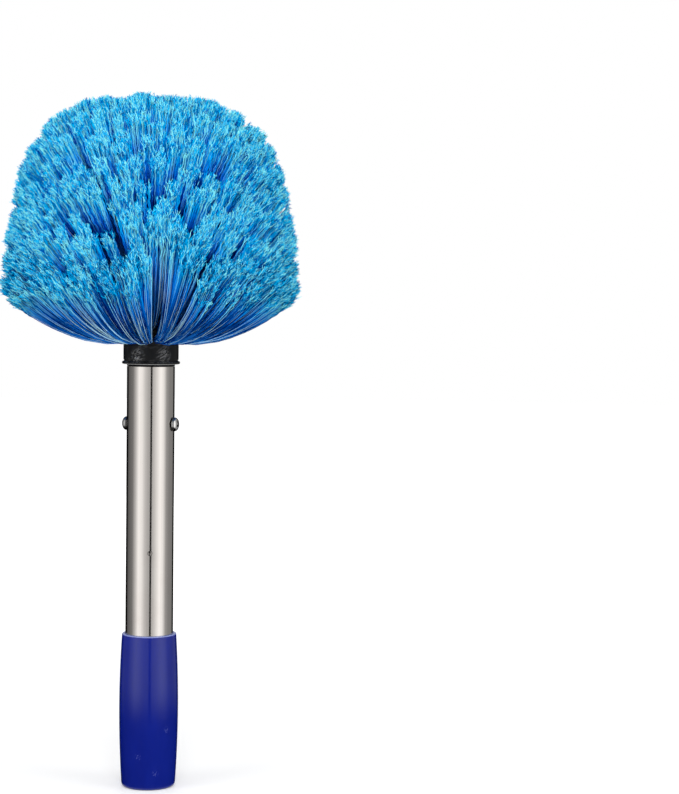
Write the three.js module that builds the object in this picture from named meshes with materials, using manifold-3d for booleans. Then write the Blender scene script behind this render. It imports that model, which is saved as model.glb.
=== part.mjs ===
// A cobweb brush: a domed bristle head on a steel tube, with a grip and a socket for an extension pole.
// Millimetres, +Z up. The origin is the centre of the socket's mouth, and the brush's axis is Z.
import * as THREE from "three";
import { mergeVertices } from "three/addons/utils/BufferGeometryUtils.js";
import Module from "manifold-3d";

const wasm = await Module();
wasm.setup();

// Fits
const fitClearance = 0.25;
const seatGap = 0.2;
const cutOverrun = 2;
const weldDistance = 0.0005;

// Steel tube
const tubeDiameter = 24;
const tubeWall = 0.5;
const tubeLength = 210;
const tubeEdgeBreak = 0.12;

// Punch mark that stakes the socket insert in the tube
const stakeHeight = 118;
const stakeBallDiameter = 8;
const stakeDepth = 0.4;
const stakeGrooveWidth = 7;
const stakeGrooveDepth = 0.8;

// Grip sleeve
const gripLength = 77.5;
const gripMouthWall = 1.3;
const gripBellyWall = 2.55;
const gripBrimWall = 1.4;
const gripBellyHeight = 40;
const gripLipThickness = 2;
const gripOpeningMargin = 1.4;
const gripFootRound = 1.6;
const gripBrimRound = 0.6;
const gripMouthChamfer = 0.6;

// Socket insert
const socketWall = 2.35;
const socketDepth = 42;
const socketChamfer = 0.8;
const insertFloorThickness = 2.5;
const insertWall = 1.8;
const insertTopMargin = 8;
const insertRibThickness = 1.6;

// Head stem: spigot, register, flange and collar
const spigotLength = 46;
const spigotWall = 2.2;
const spigotChamfer = 0.8;
const spigotWebThickness = 1.8;
const spigotRoofThickness = 3;
const registerHeight = 0.8;
const flangeOverhang = 2.5;
const flangeThickness = 1.6;
const collarOverhang = 1.8;
const collarHeight = 8;
const collarNeckStep = 0.3;
const collarNeckHeight = 0.7;

// Screws
const screwDrop = 29;
const screwTurn = THREE.MathUtils.degToRad(-20);
const screwHeadDiameter = 7;
const screwHeadHeight = 2.7;
const screwHeadLand = 0.7;
const screwShankDiameter = 3.5;
const screwLength = 9.5;
const screwPointLength = 2;
const screwBossDiameter = 7;
const driveSpan = 3.9;
const driveSlot = 0.9;
const driveDepth = 1.3;

// Brush block and bristles
const blockHeight = 66;
const blockWall = 6.8;
const blockRound = 13.2;
const brushDiameter = 149;
const brushHeight = 126;
const rimHeight = 30;
const tuftSpacing = 11;
const rootRadius = 0.9;
const tipRadius = 3.2;
const rootDepth = 2;
const firstRootHeight = 2.6;
const tipScatter = 2.4;

// Proportions and counts
const brushTaperShare = 0.1;
const shoulderPower = 3.1;
const strandBendShare = 0.45;
const strandFlareShare = 0.9;
const goldenShare = 0.618034;
const sliceRowShares = [0, 0.24, 0.48, 0.72, 1];
const rowCount = 13;
const mostTuftsInRow = 31;
const strandSides = 3;
const strandSteps = 2;
const profileSteps = 40;
const roundSides = 48;
const blockSides = 16;
const smallSides = 20;
const barrelSteps = 8;
const roundSteps = 3;

// Places that follow from the sizes
const tubeRadius = tubeDiameter / 2;
const tubeBore = tubeRadius - tubeWall;
const tubeFoot = gripLipThickness + seatGap;
const tubeTop = tubeFoot + tubeLength;
const gripBore = tubeRadius + fitClearance;
const insertRadius = tubeBore - fitClearance;
const socketRadius = insertRadius - socketWall;
const insertTop = stakeHeight + insertTopMargin;
const stemBase = tubeTop + seatGap;
const flangeFoot = stemBase + registerHeight;
const collarFoot = flangeFoot + flangeThickness;
const collarTop = collarFoot + collarHeight;
const blockFoot = collarTop + seatGap;
const blockRadius = tubeRadius + collarOverhang;
const postRadius = blockRadius - blockWall;
const postTop = blockFoot + blockHeight - blockRound;
const screwHeight = tubeTop - screwDrop;
const brushRadius = brushDiameter / 2;

// Finishes
const bristleFinish = { color: 0x2f9de0, roughness: 0.55, metalness: 0 };
const blackPlastic = { color: 0x1c1d1f, roughness: 0.45, metalness: 0 };
const brushedSteel = { color: 0xc9c3ba, roughness: 0.3, metalness: 1 };
const screwSteel = { color: 0xd5d5d3, roughness: 0.2, metalness: 1 };
const bluePlastic = { color: 0x1c2582, roughness: 0.25, metalness: 0 };
const greyPlastic = { color: 0x30323a, roughness: 0.5, metalness: 0 };

// The closed solid of a geometry, for cutting and joining.
function solidOf(geometry) {
  const bare = geometry.index ? geometry.toNonIndexed() : geometry.clone();
  bare.deleteAttribute("normal");
  bare.deleteAttribute("uv");
  const merged = mergeVertices(bare, weldDistance);
  const mesh = new wasm.Mesh({
    numProp: 3,
    vertProperties: merged.attributes.position.array,
    triVerts: new Uint32Array(merged.index.array),
  });
  return new wasm.Manifold(mesh);
}

// A geometry with the faces of a solid.
function geometryOf(solid) {
  const { numProp, numVert, vertProperties, triVerts } = solid.getMesh();
  const positions = new Float32Array(numVert * 3);
  for (let vertex = 0; vertex < numVert; vertex++) {
    positions.set(vertProperties.subarray(vertex * numProp, vertex * numProp + 3), vertex * 3);
  }
  const indexed = new THREE.BufferGeometry();
  indexed.setAttribute("position", new THREE.BufferAttribute(positions, 3));
  indexed.setIndex(new THREE.BufferAttribute(triVerts, 1));
  const geometry = indexed.toNonIndexed();
  geometry.computeVertexNormals();
  return geometry;
}

// A solid turned about Z from a closed outline of [radius, height] points.
// The points run up the outside and back down the inside or the axis.
function turned(outline, sides = roundSides) {
  const points = [...outline, outline[0]].map(([radius, height]) => new THREE.Vector2(radius, height));
  return solidOf(new THREE.LatheGeometry(points, sides).rotateX(Math.PI / 2));
}

// A round bar along Z from one height to another.
function bar(radius, from, to, sides = roundSides) {
  const geometry = new THREE.CylinderGeometry(radius, radius, to - from, sides).rotateX(Math.PI / 2);
  return solidOf(geometry.translate(0, 0, (from + to) / 2));
}

// A slab centred on the axis, turned about Z, from one height to another.
function slab(width, thickness, from, to, turn) {
  const geometry = new THREE.BoxGeometry(width, thickness, to - from);
  return solidOf(geometry.translate(0, 0, (from + to) / 2).rotateZ(turn));
}

// Points of a quarter round from one angle to another, as [radius, height].
function roundCorner(centreRadius, centreHeight, radius, fromAngle, toAngle) {
  return Array.from({ length: roundSteps + 1 }, (_, step) => {
    const angle = fromAngle + ((toAngle - fromAngle) * step) / roundSteps;
    return [centreRadius + radius * Math.cos(angle), centreHeight + radius * Math.sin(angle)];
  });
}

function named(name, solid, finish) {
  const mesh = new THREE.Mesh(geometryOf(solid), new THREE.MeshStandardMaterial(finish));
  mesh.name = name;
  return mesh;
}

// The tube, with its two screw holes and the punch mark on its front.
function poleTube() {
  const pipe = turned([
    [tubeBore + tubeEdgeBreak, tubeFoot],
    [tubeRadius - tubeEdgeBreak, tubeFoot],
    [tubeRadius, tubeFoot + tubeEdgeBreak],
    [tubeRadius, tubeTop - tubeEdgeBreak],
    [tubeRadius - tubeEdgeBreak, tubeTop],
    [tubeBore + tubeEdgeBreak, tubeTop],
    [tubeBore, tubeTop - tubeEdgeBreak],
    [tubeBore, tubeFoot + tubeEdgeBreak],
  ]);
  return pipe.add(stakeBulge()).subtract(stakeBall(0)).subtract(screwHoles());
}

// The ball that the punch mark follows, grown by the given thickness.
function stakeBall(growth) {
  const radius = stakeBallDiameter / 2;
  const ball = new THREE.SphereGeometry(radius + growth, smallSides, smallSides / 2);
  return solidOf(ball.translate(0, stakeDepth - tubeRadius - radius, stakeHeight));
}

// The metal that the punch pushes in behind the mark.
function stakeBulge() {
  const foot = stakeHeight - stakeBallDiameter;
  return stakeBall(tubeWall).intersect(bar(tubeRadius - tubeEdgeBreak, foot, foot + 2 * stakeBallDiameter));
}

// The two screws' clearance holes, as one bar through both walls.
function screwHoles() {
  const reach = tubeRadius + cutOverrun;
  return screwBar(screwShankDiameter / 2 + fitClearance, reach);
}

// A bar along the screws' line, through the axis, that reaches as far on each side.
function screwBar(radius, reach) {
  const geometry = new THREE.CylinderGeometry(radius, radius, 2 * reach, smallSides);
  return solidOf(geometry.rotateZ(Math.PI / 2).rotateZ(screwTurn).translate(0, 0, screwHeight));
}

// One screw along +X from the tube's wall outwards: a domed pan head, a shank and a point.
function screwSolid() {
  const seat = tubeRadius + seatGap;
  const headRadius = screwHeadDiameter / 2;
  const shankRadius = screwShankDiameter / 2;
  const domeHeight = screwHeadHeight - screwHeadLand;
  const dome = Array.from({ length: roundSteps + 1 }, (_, step) => {
    const angle = ((Math.PI / 2) * step) / roundSteps;
    return [headRadius * Math.cos(angle), seat + screwHeadLand + domeHeight * Math.sin(angle)];
  });
  const outline = [
    [0, seat - screwLength],
    [shankRadius, seat - screwLength + screwPointLength],
    [shankRadius, seat],
    [headRadius, seat],
    ...dome.slice(0, -1),
    [0, seat + screwHeadHeight],
  ];
  return turned(outline, smallSides).subtract(crossDrive(seat + screwHeadHeight));
}

// The cross recess, cut down from the top of the head.
function crossDrive(top) {
  const foot = top - driveDepth;
  const wings = [0, Math.PI / 2].map((turn) => slab(driveSpan, driveSlot, foot, top + cutOverrun, turn));
  return wings[0].add(wings[1]);
}

function screw(name, turn) {
  const mesh = named(name, screwSolid(), screwSteel);
  mesh.geometry.rotateY(Math.PI / 2);
  mesh.rotation.z = turn;
  mesh.position.z = screwHeight;
  return mesh;
}

// The sleeve's outside: a barrel that swells to its belly, as [radius, height] up from the mouth.
function barrelOutline() {
  const belly = gripBore + gripBellyWall;
  const low = gripFootRound;
  const high = gripLength - gripBrimRound;
  return Array.from({ length: barrelSteps + 1 }, (_, step) => {
    const height = low + ((high - low) * step) / barrelSteps;
    const below = height < gripBellyHeight;
    const share = below
      ? (gripBellyHeight - height) / (gripBellyHeight - low)
      : (height - gripBellyHeight) / (high - gripBellyHeight);
    const endWall = below ? gripMouthWall : gripBrimWall;
    return [belly - (gripBellyWall - endWall) * share * share, height];
  });
}

function gripSleeve() {
  const opening = socketRadius + gripOpeningMargin;
  const foot = gripBore + gripMouthWall - gripFootRound;
  const brim = gripBore + gripBrimWall - gripBrimRound;
  return turned([
    ...roundCorner(foot, gripFootRound, gripFootRound, -Math.PI / 2, 0).slice(0, -1),
    ...barrelOutline(),
    ...roundCorner(brim, gripLength - gripBrimRound, gripBrimRound, 0, Math.PI / 2).slice(1),
    [gripBore, gripLength],
    [gripBore, gripLipThickness],
    [opening, gripLipThickness],
    [opening, gripMouthChamfer],
    [opening + gripMouthChamfer, 0],
  ]);
}

// The insert: a socket for the pole below its floor, and a cored shank with a rib cross above it.
function socketInsert() {
  const floor = tubeFoot + socketDepth;
  const core = insertRadius - insertWall;
  const body = turned([
    [socketRadius + socketChamfer, tubeFoot],
    [insertRadius, tubeFoot],
    [insertRadius, stakeHeight - stakeGrooveWidth / 2],
    [insertRadius - stakeGrooveDepth, stakeHeight - stakeGrooveWidth / 2],
    [insertRadius - stakeGrooveDepth, stakeHeight + stakeGrooveWidth / 2],
    [insertRadius, stakeHeight + stakeGrooveWidth / 2],
    [insertRadius, insertTop],
    [core, insertTop],
    [core, floor + insertFloorThickness],
    [0, floor + insertFloorThickness],
    [0, floor],
    [socketRadius, floor],
    [socketRadius, tubeFoot + socketChamfer],
  ]);
  const width = 2 * insertRadius - insertWall;
  const from = floor + insertFloorThickness / 2;
  const to = insertTop - insertWall;
  const ribs = [0, Math.PI / 2].map((turn) => slab(width, insertRibThickness, from, to, turn));
  return body.add(ribs[0]).add(ribs[1]);
}

// The black moulding that carries the brush. Its spigot is screwed into the tube, and its post holds the block.
function headStem() {
  const spigot = tubeBore - fitClearance;
  const spigotFoot = stemBase - spigotLength;
  const core = spigot - spigotWall;
  const flange = tubeRadius + flangeOverhang - flangeThickness / 2;
  const flangeMiddle = flangeFoot + flangeThickness / 2;
  const neck = blockRadius - collarNeckStep;
  const shell = turned([
    [core, spigotFoot],
    [spigot - spigotChamfer, spigotFoot],
    [spigot, spigotFoot + spigotChamfer],
    [spigot, stemBase],
    [tubeRadius, stemBase],
    [tubeRadius, flangeFoot],
    ...roundCorner(flange, flangeMiddle, flangeThickness / 2, -Math.PI / 2, Math.PI / 2),
    [neck, collarFoot],
    [neck, collarFoot + collarNeckHeight],
    [blockRadius, collarFoot + collarNeckHeight],
    [blockRadius, collarTop],
    [postRadius, collarTop],
    [postRadius, postTop],
    [0, postTop],
    [0, stemBase - spigotRoofThickness],
    [core, stemBase - spigotRoofThickness],
  ]);
  const webWidth = 2 * spigot - spigotWall;
  const webTop = stemBase - spigotRoofThickness / 2;
  const webFoot = spigotFoot + spigotWall;
  const web = slab(webWidth, spigotWebThickness, webFoot, webTop, screwTurn);
  const crossWeb = slab(webWidth, spigotWebThickness, webFoot, webTop, screwTurn + Math.PI / 2);
  const boss = screwBar(screwBossDiameter / 2, spigot - spigotWall / 2);
  return shell.add(web).add(crossWeb).add(boss).subtract(screwHoles());
}

// A curve up the half section of a dome, as (radius, height): upright at its foot and level at its top.
function domeProfile(foot, radius, height, taper, power) {
  const points = Array.from({ length: profileSteps + 1 }, (_, step) => {
    const angle = ((Math.PI / 2) * step) / profileSteps;
    const rise = Math.sin(angle) ** (2 / power);
    const width = (radius - taper * rise) * Math.max(Math.cos(angle), 0) ** (2 / power);
    return new THREE.Vector2(width, foot + height * rise);
  });
  return new THREE.SplineCurve(points);
}

// The block's outside: a straight wall with a round top.
function blockProfile() {
  const top = domeProfile(postTop, blockRadius, blockRound, 0, 2).getSpacedPoints(roundSteps * 2);
  return [new THREE.Vector2(blockRadius, blockFoot), ...top];
}

// A point of the block's outside and the direction that faces out there, by the distance up from its foot.
function blockPlace(distance) {
  const wall = postTop - blockFoot;
  if (distance < wall) {
    return { radius: blockRadius, height: blockFoot + distance, lean: 0 };
  }
  const lean = Math.min((distance - wall) / blockRound, Math.PI / 2);
  return {
    radius: blockRadius * Math.cos(lean),
    height: postTop + blockRound * Math.sin(lean),
    lean,
  };
}

// Each row of tufts: where its roots leave the block, where its tips end, and how many it has.
function tuftRows() {
  const taper = brushRadius * brushTaperShare;
  const rim = collarTop + rimHeight;
  const tips = domeProfile(rim, brushRadius, brushHeight - rimHeight, taper, shoulderPower);
  const blockGirth = postTop - blockFoot + (blockRound * Math.PI) / 2;
  return Array.from({ length: rowCount }, (_, row) => {
    const share = row / (rowCount - 1);
    const root = blockPlace(firstRootHeight + (blockGirth - firstRootHeight) * share);
    const tip = tips.getPointAt(share);
    const fitting = Math.round((2 * Math.PI * tip.x) / tuftSpacing);
    return { root, tip, count: Math.min(mostTuftsInRow, Math.max(1, fitting)) };
  });
}

// A number from -1 to 1 that differs from tuft to tuft and is the same every time.
function scatter(index) {
  return 2 * ((index * goldenShare) % 1) - 1;
}

// One tuft: a three-sided strand that leaves the block square, bends and flares to its tip.
function tuftSolid(row, turn, index) {
  const sideways = new THREE.Vector3(-Math.sin(turn), Math.cos(turn), 0);
  const outward = new THREE.Vector3(Math.cos(turn), Math.sin(turn), 0);
  const facing = outward.clone().multiplyScalar(Math.cos(row.root.lean)).setZ(Math.sin(row.root.lean));
  const root = outward.clone().multiplyScalar(row.root.radius).setZ(row.root.height);
  const tip = outward.clone().multiplyScalar(row.tip.x).setZ(row.tip.y);
  const reach = tip.distanceTo(root);
  const bend = root.clone().addScaledVector(facing, reach * strandBendShare);
  tip.addScaledVector(tip.clone().sub(bend).normalize(), tipScatter * scatter(index));
  const path = new THREE.QuadraticBezierCurve3(root.addScaledVector(facing, -rootDepth), bend, tip);
  return strandSolid(path, sideways, scatter(index + row.count) * Math.PI);
}

// A flaring strand along a path, closed at both ends.
function strandSolid(path, sideways, twist) {
  const positions = [];
  for (let ring = 0; ring <= strandSteps; ring++) {
    const share = ring / strandSteps;
    const centre = path.getPoint(share);
    const upward = path.getTangent(share).cross(sideways).normalize();
    const radius = rootRadius + (tipRadius - rootRadius) * share ** strandFlareShare;
    for (let corner = 0; corner < strandSides; corner++) {
      const angle = twist + (2 * Math.PI * corner) / strandSides;
      const point = centre.clone().addScaledVector(sideways, radius * Math.cos(angle));
      positions.push(...point.addScaledVector(upward, radius * Math.sin(angle)).toArray());
    }
  }
  const geometry = new THREE.BufferGeometry();
  geometry.setAttribute("position", new THREE.Float32BufferAttribute(positions, 3));
  geometry.setIndex(strandFaces());
  return solidOf(geometry);
}

// The triangles of a strand: its sides ring by ring, then a fan at each end.
function strandFaces() {
  const faces = [];
  for (let ring = 0; ring < strandSteps; ring++) {
    for (let corner = 0; corner < strandSides; corner++) {
      const next = (corner + 1) % strandSides;
      const here = ring * strandSides;
      const above = here + strandSides;
      faces.push(here + corner, here + next, above + next);
      faces.push(here + corner, above + next, above + corner);
    }
  }
  const last = strandSteps * strandSides;
  for (let corner = 1; corner < strandSides - 1; corner++) {
    faces.push(0, corner + 1, corner);
    faces.push(last, last + corner, last + corner + 1);
  }
  return faces;
}

// The tufts of some rows, joined to the slice of the block that they are set in.
function bristleSlice(rows, firstRow, lastRow, isFirst, isLast) {
  const between = (row) => (rows[row - 1].root.height + rows[row].root.height) / 2;
  const foot = isFirst ? blockFoot : between(firstRow) + seatGap / 2;
  const top = isLast ? blockFoot + blockHeight + cutOverrun : between(lastRow) - seatGap / 2;
  const outline = blockProfile().map((point) => [point.x, point.y]);
  const block = turned([[0, blockFoot], ...outline], blockSides);
  const post = bar(postRadius + fitClearance, blockFoot - cutOverrun, postTop + seatGap, blockSides);
  let slice = block.intersect(bar(blockRadius + cutOverrun, foot, top, blockSides)).subtract(post);
  let index = 0;
  for (const [number, row] of rows.entries()) {
    for (let place = 0; place < row.count; place++) {
      index += 1;
      if (number >= firstRow && number < lastRow) {
        const turn = (2 * Math.PI * (place + (number % 2) / 2)) / row.count;
        slice = slice.add(tuftSolid(row, turn, index));
      }
    }
  }
  return slice;
}

const part = new THREE.Group();
part.add(named("head_stem", headStem(), blackPlastic));
part.add(named("pole_tube", poleTube(), brushedSteel));
part.add(screw("screw_right", screwTurn));
part.add(screw("screw_left", screwTurn + Math.PI));
part.add(named("grip_sleeve", gripSleeve(), bluePlastic));
part.add(named("socket_insert", socketInsert(), greyPlastic));

const sliceNames = ["bristles_lower", "bristles_middle", "bristles_upper", "bristles_crown"];
const rows = tuftRows();
sliceNames.forEach((name, number) => {
  const firstRow = Math.round(sliceRowShares[number] * rowCount);
  const lastRow = Math.round(sliceRowShares[number + 1] * rowCount);
  const slice = bristleSlice(rows, firstRow, lastRow, number === 0, number === sliceNames.length - 1);
  part.add(named(name, slice, bristleFinish));
});

export default part;
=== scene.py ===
"""Looks of a cobweb brush: a dome of crimped blue bristles on a steel tube with a blue grip sleeve.

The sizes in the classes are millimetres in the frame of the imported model: the mouth of the grip
stands on the floor at the origin, +Z is up and the front is at -Y. Each mesh is scaled to metres
once, when its object is made.
"""

import logging
import math
from collections.abc import Callable, Sequence
from dataclasses import astuple, dataclass, field
from enum import Enum

import bpy
import numpy as np
from mathutils import Matrix, Vector


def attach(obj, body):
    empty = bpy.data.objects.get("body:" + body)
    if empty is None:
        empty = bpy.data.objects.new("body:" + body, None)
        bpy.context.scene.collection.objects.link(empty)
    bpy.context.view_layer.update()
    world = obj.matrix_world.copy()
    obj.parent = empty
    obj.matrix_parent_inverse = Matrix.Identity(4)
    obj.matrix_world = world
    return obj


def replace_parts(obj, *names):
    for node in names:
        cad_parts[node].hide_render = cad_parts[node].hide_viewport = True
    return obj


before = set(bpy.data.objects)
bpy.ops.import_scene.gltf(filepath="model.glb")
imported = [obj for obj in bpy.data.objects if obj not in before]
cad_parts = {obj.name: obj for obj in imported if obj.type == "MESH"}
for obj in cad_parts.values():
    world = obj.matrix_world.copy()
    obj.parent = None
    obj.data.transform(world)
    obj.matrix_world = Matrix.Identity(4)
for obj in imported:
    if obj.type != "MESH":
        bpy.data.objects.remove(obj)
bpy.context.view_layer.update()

LOG = logging.getLogger("cobweb_brush")
METRES = 0.001
BODY = "root"
UP = np.array([0.0, 0.0, 1.0])
WHITE = (1.0, 1.0, 1.0)
TOUCHING = 0.01

Span = tuple[float, float]
Colour = tuple[float, float, float]
Place = tuple[float, float, float]
Stops = tuple[tuple[float, Colour], ...]
Outline = list[tuple[float, float]]
Press = Callable[[np.ndarray, np.ndarray, np.ndarray], np.ndarray]


def srgb(red: int, green: int, blue: int) -> Colour:
    """Returns the linear colour of three screen values from 0 to 255."""
    shares = [value / 255 for value in (red, green, blue)]
    return tuple(s / 12.92 if s <= 0.04045 else ((s + 0.055) / 1.055) ** 2.4 for s in shares)


# Shaders


def maths(operation: str, swapped: bool = False) -> Callable[["Wire", object], "Wire"]:
    """Makes a method of Wire that adds one Math node.

    Args:
        operation: the node's operation.
        swapped: whether the other value comes first.

    Returns:
        The method.
    """

    def method(wire: "Wire", other: object) -> "Wire":
        """Returns the node's result for a wire and another value."""
        return wire.calculate(operation, *((other, wire) if swapped else (wire, other)))

    return method


class Wire:
    """An output socket whose arithmetic adds Math nodes to its tree."""

    def __init__(self, sheet: "NodeSheet", socket: bpy.types.NodeSocket) -> None:
        """Keeps the socket and the sheet that new nodes go on."""
        self.sheet = sheet
        self.socket = socket

    def calculate(self, operation: str, first: object, second: object, clamped: bool = False) -> "Wire":
        """Returns the result of a new Math node, kept from 0 to 1 if clamped."""
        settings = {"operation": operation, "use_clamp": clamped}
        return self.sheet.wire("ShaderNodeMath", {0: first, 1: second}, settings)

    __add__ = maths("ADD")
    __radd__ = maths("ADD", swapped=True)
    __sub__ = maths("SUBTRACT")
    __rsub__ = maths("SUBTRACT", swapped=True)
    __mul__ = maths("MULTIPLY")
    __rmul__ = maths("MULTIPLY", swapped=True)
    __truediv__ = maths("DIVIDE")
    __pow__ = maths("POWER")
    heading = maths("ARCTAN2")
    at_most = maths("MINIMUM")
    at_least = maths("MAXIMUM")

    def between(self, low: float, high: float) -> "Wire":
        """Returns how far self is on its way from low to high, kept from 0 to 1."""
        return self.calculate("MULTIPLY", self - low, 1 / (high - low), clamped=True)


@dataclass(frozen=True)
class Cloud:
    """Cloudy noise.

    Its scale is about one over the width of a patch in metres. Detail is how many finer layers it
    has, and roughness how strong they are. Patches are stretch times as tall as wide, and tall ones
    lean about Y, in radians. Noise at the two limits counts as no patch and as a full one.
    """

    scale: float
    detail: float = 2.0
    roughness: float = 0.5
    stretch: float = 1.0
    lean: float = 0.0
    limits: Span = (0.0, 1.0)


class NodeSheet:
    """A node tree that is filled from the shader back to its textures."""

    def __init__(self, tree: bpy.types.NodeTree) -> None:
        """Empties the tree and keeps it."""
        tree.nodes.clear()
        self.tree = tree

    def node(self, kind: str, sockets: dict | None = None, settings: dict | None = None) -> bpy.types.Node:
        """Adds a node.

        Args:
            kind: the node's type.
            sockets: a value or a Wire for each input, by name, identifier or number.
            settings: attributes to set before the sockets; "stops" fills a ramp.

        Returns:
            The new node.
        """
        node = self.tree.nodes.new(kind)
        for name, setting in (settings or {}).items():
            if name == "stops":
                self._fill_ramp(node.color_ramp, setting)
            else:
                setattr(node, name, setting)
        for key, value in (sockets or {}).items():
            socket = self._input(node, key)
            if isinstance(value, Wire):
                self.tree.links.new(value.socket, socket)
            elif isinstance(value, tuple) and socket.type == "RGBA":
                socket.default_value = (*value, 1.0)
            else:
                socket.default_value = value
        return node

    @staticmethod
    def _input(node: bpy.types.Node, key: str | int) -> bpy.types.NodeSocket:
        """Returns a node's input by its number, identifier or name."""
        named = {} if isinstance(key, int) else {socket.identifier: socket for socket in node.inputs}
        return named.get(key) or node.inputs[key]

    @staticmethod
    def _fill_ramp(ramp: bpy.types.ColorRamp, stops: Stops) -> None:
        """Gives a ramp its stops.

        Args:
            ramp: the ramp.
            stops: each stop's place and colour, in order.
        """
        while len(ramp.elements) > 1:
            ramp.elements.remove(ramp.elements[-1])
        ramp.elements[0].position = stops[0][0]
        ramp.elements[0].color = (*stops[0][1], 1.0)
        for place, colour in stops[1:]:
            ramp.elements.new(place).color = (*colour, 1.0)

    def wire(
        self, kind: str, sockets: dict | None = None, settings: dict | None = None, output: str | int = 0
    ) -> Wire:
        """Adds a node as node() does and returns one of its outputs, by name or number."""
        return Wire(self, self.node(kind, sockets, settings).outputs[output])

    def place(self) -> Wire:
        """Returns a point's place in the object's own frame, in metres."""
        return self.wire("ShaderNodeTexCoord", output="Object")

    def split(self, vector: Wire) -> list[Wire]:
        """Returns the three parts of a vector."""
        node = self.node("ShaderNodeSeparateXYZ", {0: vector})
        return [Wire(self, output) for output in node.outputs]

    def millimetres(self) -> list[Wire]:
        """Returns a point's x, y and z in the object's own frame, in millimetres."""
        return [part / METRES for part in self.split(self.place())]

    def noise(self, cloud: Cloud) -> Wire:
        """Adds cloudy noise.

        Args:
            cloud: how it looks.

        Returns:
            A value around 0.5.
        """
        place = self.place()
        if cloud.stretch != 1.0:
            scale, turn = (1.0, 1.0, cloud.stretch), (0.0, cloud.lean, 0.0)
            sockets = {"Vector": place, "Scale": scale, "Rotation": turn}
            place = self.wire("ShaderNodeMapping", sockets, {"vector_type": "TEXTURE"})
        sockets = {"Vector": place, "Scale": cloud.scale, "Detail": cloud.detail}
        sockets["Roughness"] = cloud.roughness
        return self.wire("ShaderNodeTexNoise", sockets)

    def patches(self, cloud: Cloud) -> Wire:
        """Returns the patches of cloudy noise, from 0 to 1."""
        return self.noise(cloud).between(*cloud.limits)

    def blend(self, factor: object, first: object, second: object, how: str = "MIX") -> Wire:
        """Mixes two colours.

        Args:
            factor: how much of the second there is.
            first: a colour.
            second: the other colour.
            how: the way that they are mixed.

        Returns:
            The mixed colour.
        """
        settings = {"data_type": "RGBA", "blend_type": how, "clamp_result": True}
        sockets = {"Factor_Float": factor, "A_Color": first, "B_Color": second}
        return self.wire("ShaderNodeMix", sockets, settings, 2)

    def ramp(self, factor: Wire, stops: Stops) -> Wire:
        """Returns the colour of a ramp at a factor from 0 to 1."""
        return self.wire("ShaderNodeValToRGB", {"Fac": factor}, {"stops": stops})

    def near(self, points: Sequence[Place], inner: float, outer: float) -> Wire:
        """Marks the surroundings of some points.

        Args:
            points: the points, in millimetres.
            inner: the mark is full up to this distance from a point.
            outer: it ends at this distance.

        Returns:
            1 close to a point, falling to 0.
        """
        total = 0.0
        for point in points:
            sockets = {0: self.place(), 1: tuple(METRES * part for part in point)}
            distance = self.wire("ShaderNodeVectorMath", sockets, {"operation": "DISTANCE"}, "Value")
            total = total + (1 - distance.between(METRES * inner, METRES * outer))
        return total

    def bump(self, height: Wire, depth: float, strength: float = 1.0) -> Wire:
        """Returns a normal that is pushed by a height times a depth in millimetres."""
        sockets = {"Strength": strength, "Distance": METRES * depth, "Height": height}
        return self.wire("ShaderNodeBump", sockets)

    def looked_at(self) -> Wire:
        """Tells looks at the object from light on its way to it.

        Returns:
            1 where the camera, gloss or glass look, and 0 elsewhere.
        """
        paths = self.node("ShaderNodeLightPath").outputs
        camera, glossy, through = (
            Wire(self, paths[f"Is {kind} Ray"]) for kind in ("Camera", "Glossy", "Transmission")
        )
        return (camera + glossy + through).at_most(1.0)


@dataclass(frozen=True)
class Finish:
    """What every finish shares: a name, its least and most roughness, and one material from nodes.

    Its relief is how deep its texture is in millimetres, and how strongly that shows.
    """

    name: str
    smooth: float = 0.5
    rough: float = 0.5
    relief: Span = (0.03, 0.5)

    def material(self) -> bpy.types.Material:
        """Makes this finish's material, or finds it where it is made already.

        Returns:
            The material.
        """
        made = bpy.data.materials.get(self.name)
        if made is None:
            made = bpy.data.materials.new(self.name)
            made.use_nodes = True
            sheet = NodeSheet(made.node_tree)
            shader = sheet.wire("ShaderNodeBsdfPrincipled", self.sockets(sheet))
            sheet.node("ShaderNodeOutputMaterial", {"Surface": shader})
        return made

    def sockets(self, sheet: NodeSheet) -> dict:
        """Returns the shader's sockets as values and wires."""
        raise NotImplementedError

    def roughness(self, share: Wire) -> Wire:
        """Returns the roughness at a share of the way from smooth to rough."""
        return share.at_most(1.0) * (self.rough - self.smooth) + self.smooth


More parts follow.
